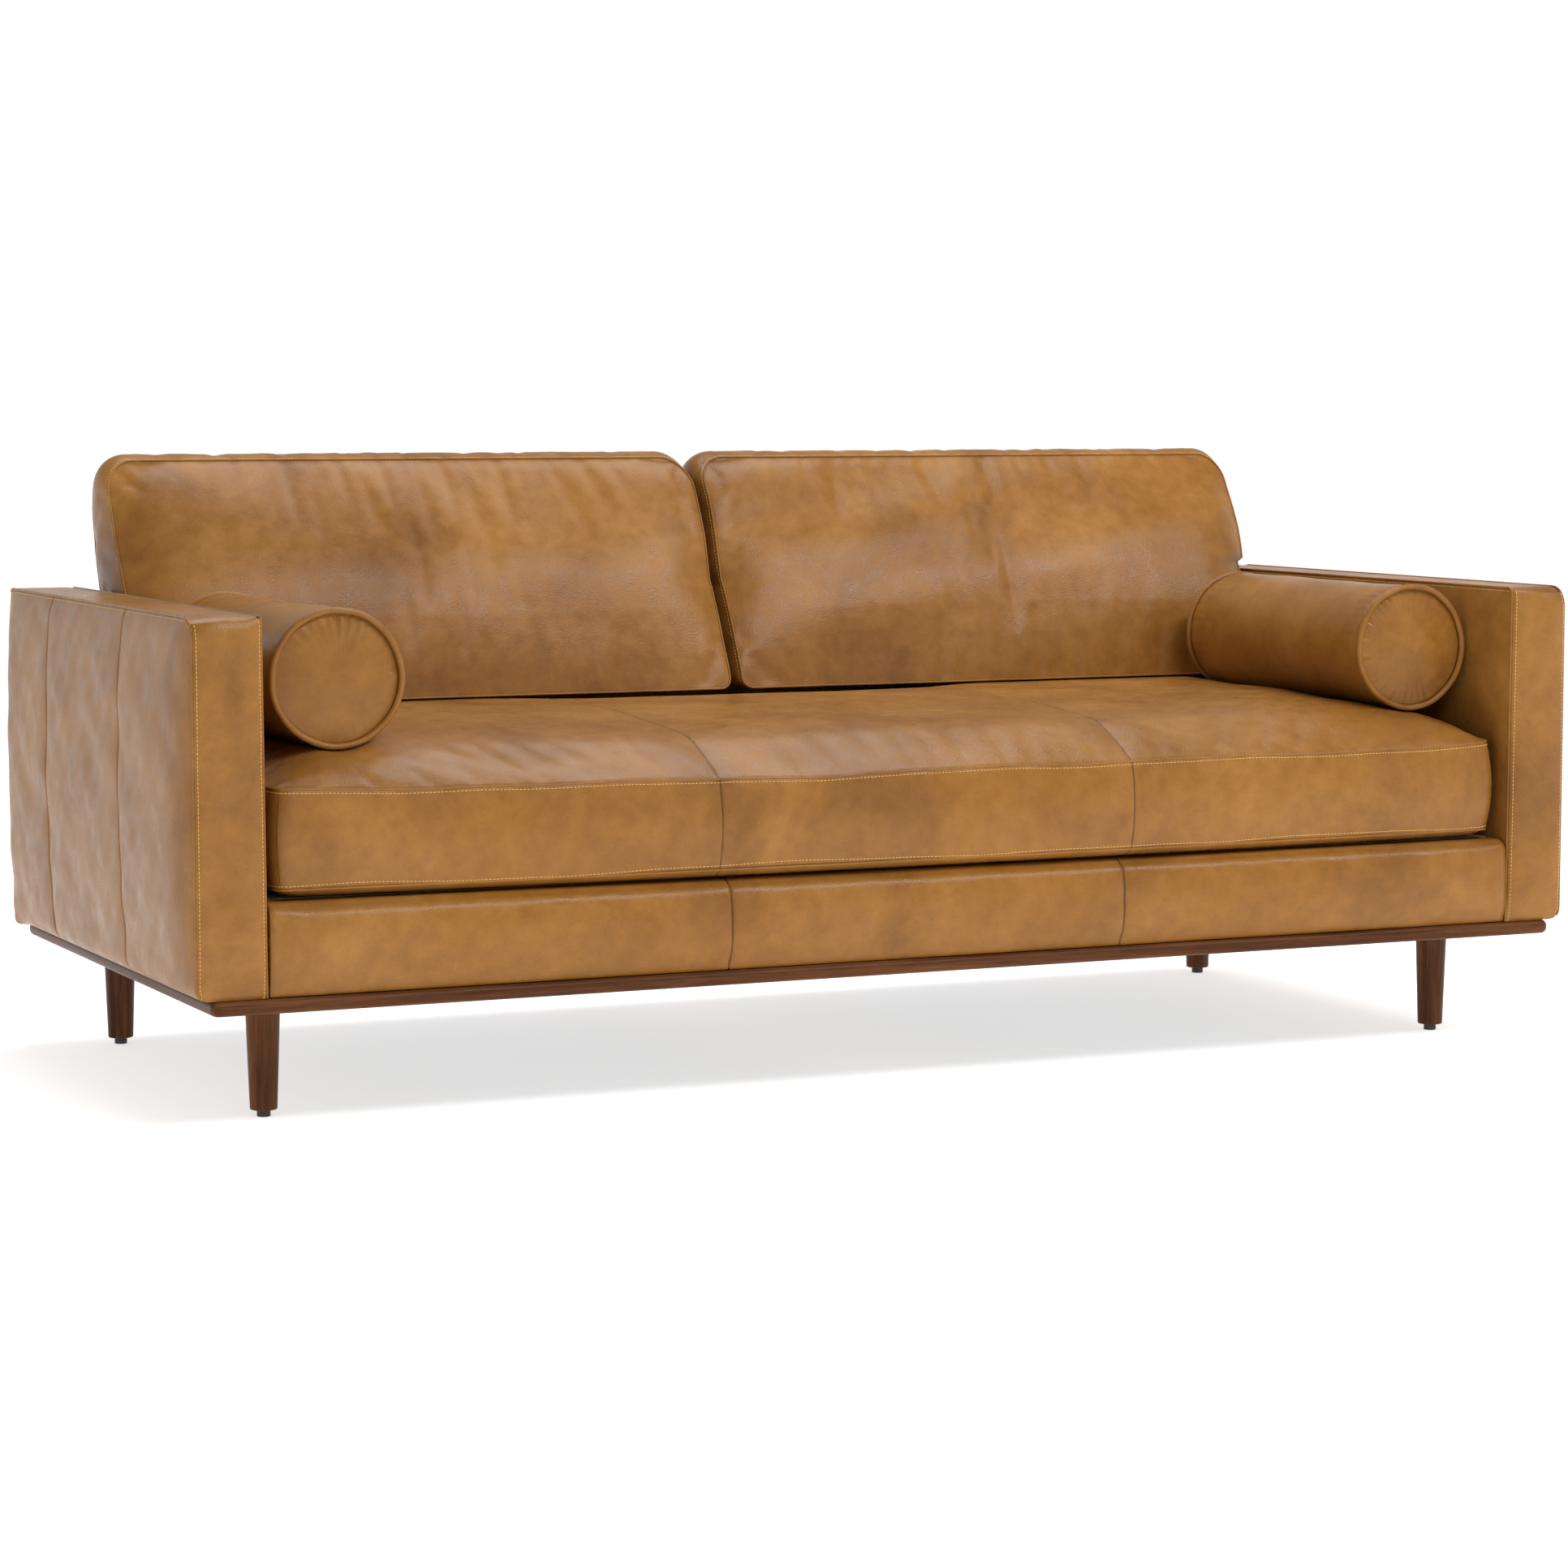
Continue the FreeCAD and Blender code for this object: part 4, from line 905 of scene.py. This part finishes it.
def make_arm(name, side):
    fine = Lattice(stops((0, ARM_WIDTH), ARM_CELL, (0, ARM_WIDTH)),
                   stops((0, ARM_LENGTH), ARM_CELL, (0, *ARM_SEAMS)),
                   stops((0, ARM_HEIGHT), ARM_CELL, (ARM_HEIGHT,)))
    if side < 0:
        fine.mirror()
    across, deep, high = fine.params.T
    points = arm_surface(fine.params, side)
    arm = new_object(name, points, fine.faces, LEATHER)
    uneven = dents(points, SEEDS["arm"], (0.0010, 0.11), (0.0006, 0.045), side)
    strip = (deep == 0) | (high == ARM_HEIGHT)
    edge = np.minimum(across, ARM_WIDTH - across)
    from_edges = np.where(strip, edge, np.maximum(np.minimum(deep, ARM_HEIGHT - high), 0))
    push_out(arm, points, uneven * rise(from_edges, 0.02) * (high > 0))
    dented = coordinates(arm)
    dented[:, 0] = side * np.maximum(dented[:, 0] * side, ARM_INNERMOST)
    push_out(arm, dented, np.zeros(len(dented)))
    facing = np.maximum(edge, np.minimum(deep, ARM_HEIGHT - high))
    crease_and_painted_shade(arm, np.where(across == ARM_WIDTH, from_seams(deep, ARM_SEAMS), 1.0), CREASE_DEPTH, facing)
    runs = []
    lips = []
    ids = fine.ids
    for end, stitch in ((0, STITCH_OFFSET), (-1, ARM_WIDTH - STITCH_OFFSET)):
        line = int(np.abs(fine.axes[0] - stitch).argmin())
        below = int(np.abs(fine.axes[2] - (ARM_HEIGHT - STITCH_OFFSET)).argmin())
        runs.append(run_of(arm, ids[line, 0, :]))
        runs.append(run_of(arm, ids[end, :, below]))
        seam_ids = np.concatenate([ids[end, 0, :], ids[end, 1:, -1]])
        lips.append(run_of(arm, seam_ids, False, 0.0004))
    thread = stitched(f"{name}_stitches", runs, THREAD)
    welt = tubes(f"{name}_lips", lips, ARM_LIP_RADIUS, LEATHER)
    side_name = name.removeprefix("arm_")
    finish_piece(arm, "sofa_frame", (f"arm_cover_{side_name}", f"arm_foam_{side_name}"), (thread, welt))


# ---- front rail and back
RAIL_HALF = 0.9072
RAIL_FRONT = -0.434
RAIL_DEPTH = 0.039
RAIL_LOW = 0.1695
RAIL_HEIGHT = 0.1175
RAIL_BULGE = 0.0155
RAIL_SEAMS = (-0.289, 0.289)
RAIL_CELLS = (0.0070, 0.0045)
RAIL_ROUNDS = (0.016, 0.004)  # at the top and at the bottom of its front


def make_front_rail():
    ends = (-RAIL_HALF, RAIL_HALF)
    fine = Lattice(stops(ends, RAIL_CELLS[0], RAIL_SEAMS),
                   stops((0, RAIL_DEPTH), RAIL_CELLS[1]),
                   stops((0, RAIL_HEIGHT), RAIL_CELLS[1]))
    across, deep, high = fine.params.T
    level = high / RAIL_HEIGHT
    from_end = RAIL_HALF - np.abs(across)
    pinch = pinched(across, RAIL_SEAMS, 0.0026, 0.013)
    profile = np.maximum(1 - np.abs(2 * level - 1.06) ** 2.6, 0)
    swell = RAIL_BULGE * profile * (0.35 + 0.65 * rise(from_end, 0.025))
    y = RAIL_FRONT + deep
    z = RAIL_LOW + high
    front = RAIL_FRONT - np.maximum(swell - pinch * rise(RAIL_HEIGHT - high, 0.012), 0)
    reach = 1 - deep / RAIL_DEPTH
    y = y + (front - RAIL_FRONT) * reach
    y, z = rounded(y, z, (front, RAIL_LOW + RAIL_HEIGHT), (-1, 1), RAIL_ROUNDS[0])
    y, z = rounded(y, z, (front, RAIL_LOW), (-1, -1), RAIL_ROUNDS[1])
    points = np.stack([across, y, z], axis=1)
    rail = new_object("front_rail", points, fine.faces, LEATHER)
    uneven = dents(points, SEEDS["rail"], (0.0009, 0.09), (0.0004, 0.035))
    push_out(rail, points, uneven * (deep == 0) * rise(high, 0.01) * rise(RAIL_HEIGHT - high, 0.01))
    crease_and_painted_shade(rail, from_seams(across, RAIL_SEAMS), RAIL_CREASE)
    finish_piece(rail, "sofa_frame", ("front_rail_cover", "front_rail_foam"))


BACK_HALF = 0.9072
BACK_LOW = 0.1695
BACK_HEIGHT = 0.4525
BACK_REAR = 0.437
BACK_PANEL_CLEAR = 0.4356  # just outside the board behind the cover
BACK_FACE_Z = (0.1695, 0.275, 0.622)
BACK_FACE_Y = (0.355, 0.355, 0.400)
BACK_SEAMS = (-0.303, 0.303)
BACK_CELLS = (0.0090, 0.11, 0.0080)  # the second is a share of the way from the face to the rear
BACK_TOP_ROUND = 0.007
BACK_LOW_ROUND = 0.004
BACK_PILLOW = 0.0050
BACK_CREASE = 0.0013


def make_back():
    ends = (-BACK_HALF, BACK_HALF)
    fine = Lattice(stops(ends, BACK_CELLS[0], BACK_SEAMS),
                   stops((0, 1), BACK_CELLS[1]),
                   stops((0, BACK_HEIGHT), BACK_CELLS[2], (BACK_HEIGHT,)))
    across, deep, high = fine.params.T
    z = BACK_LOW + high
    face = np.interp(z, BACK_FACE_Z, BACK_FACE_Y)
    pinch = pinched(across, BACK_SEAMS, 0.0026, 0.016)
    from_top = BACK_HEIGHT - high
    from_end = BACK_HALF - np.abs(across)
    pillow = BACK_PILLOW * rise(from_top, 0.04) * rise(high, 0.04) * rise(from_end, 0.05)
    rear = BACK_REAR - 0.001 + pillow - pinch * rise(from_top, 0.012)
    rear = np.maximum(rear, BACK_PANEL_CLEAR)
    y = face + (rear - face) * deep
    top = high == BACK_HEIGHT
    z = np.where(top, z + 0.0035 * np.sin(math.pi * deep), z)
    y, z = rounded(y, z, (rear, BACK_LOW + BACK_HEIGHT), (1, 1), BACK_TOP_ROUND)
    y, z = rounded(y, z, (face, BACK_LOW + BACK_HEIGHT), (-1, 1), BACK_TOP_ROUND)
    y, z = rounded(y, z, (rear, BACK_LOW), (1, -1), BACK_LOW_ROUND)
    points = np.stack([across, y, z], axis=1)
    back = new_object("back_cover", points, fine.faces, LEATHER)
    uneven = dents(points, SEEDS["back"], (0.0012, 0.14), (0.0005, 0.05)) * rise(from_top, 0.02)
    uneven = np.where(from_end < 0.03, np.maximum(uneven, 0), uneven) * rise(high, 0.03)
    push_out(back, points, uneven * (deep > 0.5))
    distance = np.where((deep > 0.99) | top, from_seams(across, BACK_SEAMS), 1.0)
    distance = np.where(deep == 1, np.minimum(distance, from_top), distance)
    crease_and_painted_shade(back, distance, BACK_CREASE)
    below = int(np.abs(fine.axes[2] - (BACK_HEIGHT - STITCH_OFFSET)).argmin())
    thread = stitched("back_stitches", [run_of(back, fine.ids[:, -1, below])], THREAD)
    finish_piece(back, "sofa_frame", ("outside_back_cover", "inside_back_cover", "back_foam"), (thread,))


# ---- bolsters
BOLSTER_RADIUS = 0.087
BOLSTER_ENDS = (-0.3262, 0.1402)
BOLSTER_DOME = 0.0098
BOLSTER_AROUND = 224
GATHERS = {"left": ((95, 38), (-8, 24)), "right": ((118, 34), (205, 28))}  # middle and spread in degrees
DISC_RADII = (0.006, 0.013, 0.021, 0.029, 0.037, 0.045, 0.052, 0.058, 0.063, 0.0675, 0.0715, 0.0748, 0.0775,
              0.0798, 0.0815, 0.0828)
DISC_EDGE = 0.0832
DISC_SEAM = 0.0834
SHOULDER = ((0.0834, 0.0006, True), (0.0840, 0.0012, False), (0.0856, 0.0030, False),
            (0.0864, 0.0065, False))  # radius, depth behind the end, and on the disc or not
BODY_RINGS = 62
BODY_INSET = 0.013
GATHER_BASE = 0.18  # how strong the gathers are away from their places
PIPING_RADIUS = 0.0042
PIPING_RING = 0.0858
PIPING_OUT = 0.0040  # the piping's middle stands this far outside the body's end


def bolster_profile():
    """Rings from the front disc's middle to the rear one's: the radius, y, and which way a disc faces."""
    rows = []
    for end, facing in zip(BOLSTER_ENDS, (-1, 1)):
        row = []
        for radius in DISC_RADII:
            row.append((radius, end + facing * BOLSTER_DOME * (1 - (radius / DISC_EDGE) ** 2.3), facing))
        for radius, depth, on_disc in SHOULDER:
            row.append((radius, end - facing * depth, facing if on_disc else 0))
        rows.append(row)
    front, rear = rows
    body_ys = np.linspace(BOLSTER_ENDS[0] + BODY_INSET, BOLSTER_ENDS[1] - BODY_INSET, BODY_RINGS)
    return front + [(BOLSTER_RADIUS, y, 0) for y in body_ys] + rear[::-1]


def make_bolster(side_name):
    gather_seed, body_seed, disc_seed = SEEDS["bolster"]
    rng = np.random.default_rng(gather_seed + SIDES[side_name])
    count = BOLSTER_AROUND
    angles = np.arange(count) * 2 * math.pi / count
    waves = [(int(rng.integers(17, 46)), rng.uniform(0, 2 * math.pi), rng.uniform(0.5, 1)) for _ in range(9)]
    gather = sum(size * np.cos(folds * angles + start) for folds, start, size in waves) / 2.4
    strength = GATHER_BASE
    for middle, spread in GATHERS[side_name]:
        away = np.angle(np.exp(1j * (angles - math.radians(middle))))
        strength = strength + np.exp(-(away / math.radians(spread)) ** 2)
    profile = bolster_profile()
    rings = []
    distances = []
    ends = BOLSTER_ENDS
    for radius, y, disc in profile:
        around = np.full(count, radius)
        ys = np.full(count, y)
        if disc:
            fold = np.exp(-((0.081 - radius) / 0.020) ** 2) * (1 - np.exp(-(0.0838 - radius) / 0.003))
            ys = ys + disc * 0.0019 * fold * gather * strength
        else:
            near = min(abs(y - ends[0]), abs(y - ends[1]))
            fade = math.exp(-near / 0.025) * (1 - math.exp(-near / 0.004))
            around = around + 0.0005 * fade * gather * strength
        rings.append(np.stack([around * np.cos(angles), ys, around * np.sin(angles)], axis=1))
        distances.append(np.full(count, abs(radius - DISC_SEAM) * (0.8 if disc else 1.6)))
    points = np.vstack(rings)
    radial = unit(points * (1, 0, 1))
    middle = rise(points[:, 1] - ends[0], 0.02) * rise(ends[1] - points[:, 1], 0.02)
    points += radial * (0.0009 * ripple(points, 0.12, body_seed + SIDES[side_name]) * middle)[:, None]
    facing = np.array([disc for _, _, disc in profile]).repeat(count)
    from_rim = rise(0.083 - np.hypot(points[:, 0], points[:, 2]), 0.01)
    points[:, 1] += 0.0012 * ripple(points, 0.05, disc_seed) * facing * from_rim
    poles = np.array([[0, ends[0] - BOLSTER_DOME, 0], [0, ends[1] + BOLSTER_DOME, 0]])
    points = np.vstack([points, poles]) + (BOLSTER_X[side_name], 0, BOLSTER_Z)
    points[:, 2] = np.maximum(points[:, 2], BOLSTER_Z - BOLSTER_RADIUS - 0.0004)
    faces = []
    for n in range(count):
        after = (n + 1) % count
        faces.append((len(points) - 2, n, after))
        for ring in range(len(profile) - 1):
            base = ring * count
            faces.append((base + n, base + count + n, base + count + after, base + after))
        base = (len(profile) - 1) * count
        faces.append((base + after, base + n, len(points) - 1))
    name = f"bolster_{side_name}"
    bolster = new_object(f"{name}_cover", points, faces, LEATHER)
    # Painted shade only, along the seams round the discs: the depth of 0 sinks nothing.
    crease_and_painted_shade(bolster, np.concatenate([*distances, [1.0, 1.0]]), 0.0)
    runs = []
    for end, sign in ((ends[0], -1), (ends[1], 1)):
        wobble = 0.0003 * np.cos(5 * angles + 1) + 0.0002 * np.cos(11 * angles)
        ring = np.stack([BOLSTER_X[side_name] + (PIPING_RING + wobble) * np.cos(angles),
                         np.full(count, end + sign * PIPING_OUT),
                         BOLSTER_Z + (PIPING_RING + wobble) * np.sin(angles)], axis=1)
        runs.append((ring, np.tile([0.0, 1.0, 0.0], (count, 1)), True))
    piping = tubes(f"{name}_piping", runs, PIPING_RADIUS, LEATHER, around=12)
    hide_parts(f"bolster_piping_{side_name}")
    finish_piece(bolster, name, (f"{name}_case", f"{name}_filling"), (piping,))


# ---- deck and dust cloth
DECK_HALF = 0.904
DECK_SPAN = (-0.3945, 0.352)
DECK_Z = (0.2705, 0.2872)
SPRING_PITCH = 0.150
SHEET_CELL = 0.012


def make_deck():
    """The deck cloth over its pad, sunk a little between the springs."""
    fine = Lattice(stops((-DECK_HALF, DECK_HALF), SHEET_CELL), stops(DECK_SPAN, SHEET_CELL), np.array(DECK_Z))
    points = fine.params.copy()
    across, deep, _ = points.T
    dip = 0.0011 * (1 + np.cos(2 * math.pi * across / SPRING_PITCH))
    dip = dip + 0.0004 * (1 + ripple(points, 0.07, SEEDS["deck"]))
    inside = rise(DECK_HALF - np.abs(across), 0.03)
    inside = inside * rise(deep - DECK_SPAN[0], 0.03) * rise(DECK_SPAN[1] - deep, 0.03)
    points[:, 2] -= np.where(points[:, 2] == DECK_Z[1], np.clip(dip, 0, 0.004) * inside, 0)
    deck = new_object("deck_cover", points, fine.faces, SLOT_MATERIALS["deck_cloth"])
    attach(deck, "sofa_frame")
    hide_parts("deck_cloth", "deck_pad")


DUST_X = 0.905
DUST_Y = (-0.420, 0.430)
DUST_Z = (0.1692, 0.1702)


def make_dust_cloth():
    """The black cloth stapled under the frame, with faint ripples where it is free."""
    fine = Lattice(stops((-DUST_X, DUST_X), SHEET_CELL), stops(DUST_Y, SHEET_CELL), np.array(DUST_Z))
    points = fine.params.copy()
    sag = 0.0004 * (1 + np.clip(ripple(points, 0.09, SEEDS["dust"]), -1, 1))
    points[:, 2] -= sag * rise(DUST_X - np.abs(points[:, 0]), 0.02)
    cloth = new_object("dust_cover", points, fine.faces, SLOT_MATERIALS["black_cloth"])
    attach(cloth, "sofa_frame")
    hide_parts("dust_cloth")


# ---- stage
CAMERA_AT = (-2.4617, -5.3312, 0.9065)
CAMERA_TURN = math.radians(-24.6864)
CAMERA_DOWN = math.radians(5.2805)
WHITE_TO = 0.13  # the surround is white up to this height of its unit sphere
DIM_FROM = 0.45  # and dim from here up, like a studio over a white sweep
DIM = (0.36, 0.36, 0.36)
FLOOR_REACH = 40
LENS = 95.85
SENSOR = 36
LIGHTS = {  # place, what it is aimed at, size and power
    "key": ((1.5, -3.1, 3.9), (0, 0.2, 0.65), (5.2, 0.5), 165),
    "high": ((0.3, 0.9, 3.4), (0, 0, 0.4), (3.0, 1.4), 62),
}


def face_along(obj, direction):
    """Turns a lamp or the camera so that its back is along a direction."""
    obj.rotation_euler = Vector(direction).to_track_quat("Z", "Y").to_euler()
    bpy.context.scene.collection.objects.link(obj)


def make_stage():
    """A plain pale floor, a white surround, soft lights and the camera."""
    made = Nodes("floor")
    made.colour(made.ramp(made.noise(30, detail=2), (0.3, (0.93, 0.93, 0.93)), (0.7, (0.95, 0.95, 0.95))))
    made.set(Roughness=0.9, Specular_IOR_Level=0.1, Emission_Color=(1, 1, 1, 1), Emission_Strength=0.62)
    corners = [(x * FLOOR_REACH, y * FLOOR_REACH, 0) for x, y in ((-1, -1), (1, -1), (1, 1), (-1, 1))]
    new_object("floor", corners, [(0, 1, 2, 3)], made.material)
    world = bpy.data.worlds.new("studio")
    world.use_nodes = True
    tree = world.node_tree
    height = tree.nodes.new("ShaderNodeSeparateXYZ")
    tree.links.new(tree.nodes.new("ShaderNodeTexCoord").outputs["Generated"], height.inputs["Vector"])
    shade = tree.nodes.new("ShaderNodeValToRGB")
    for element, place, colour in zip(shade.color_ramp.elements, (WHITE_TO, DIM_FROM), ((1, 1, 1), DIM)):
        element.position = place
        element.color = (*colour, 1)
    tree.links.new(height.outputs["Z"], shade.inputs["Fac"])
    tree.links.new(shade.outputs["Color"], tree.nodes["Background"].inputs["Color"])
    bpy.context.scene.world = world
    for name, (at, aim, size, power) in LIGHTS.items():
        light = bpy.data.lights.new(name, "AREA")
        light.shape = "RECTANGLE"
        light.size, light.size_y = size
        light.energy = power
        lamp = bpy.data.objects.new(name, light)
        lamp.location = at
        face_along(lamp, Vector(at) - Vector(aim))
    camera = bpy.data.cameras.new("camera")
    camera.lens = LENS
    camera.sensor_width = SENSOR
    viewer = bpy.data.objects.new("camera", camera)
    viewer.location = CAMERA_AT
    level = math.cos(CAMERA_DOWN)
    face_along(viewer, (math.sin(CAMERA_TURN) * level, -math.cos(CAMERA_TURN) * level, math.sin(CAMERA_DOWN)))
    bpy.context.scene.camera = viewer
    bpy.context.scene.view_settings.view_transform = "Standard"


dress_frame()
make_seat_cushion()
for name, sign in SIDES.items():
    make_back_cushion(f"back_cushion_{name}", sign)
    make_arm(f"arm_{name}", sign)
    make_bolster(name)
make_front_rail()
make_back()
make_deck()
make_dust_cloth()
make_stage()
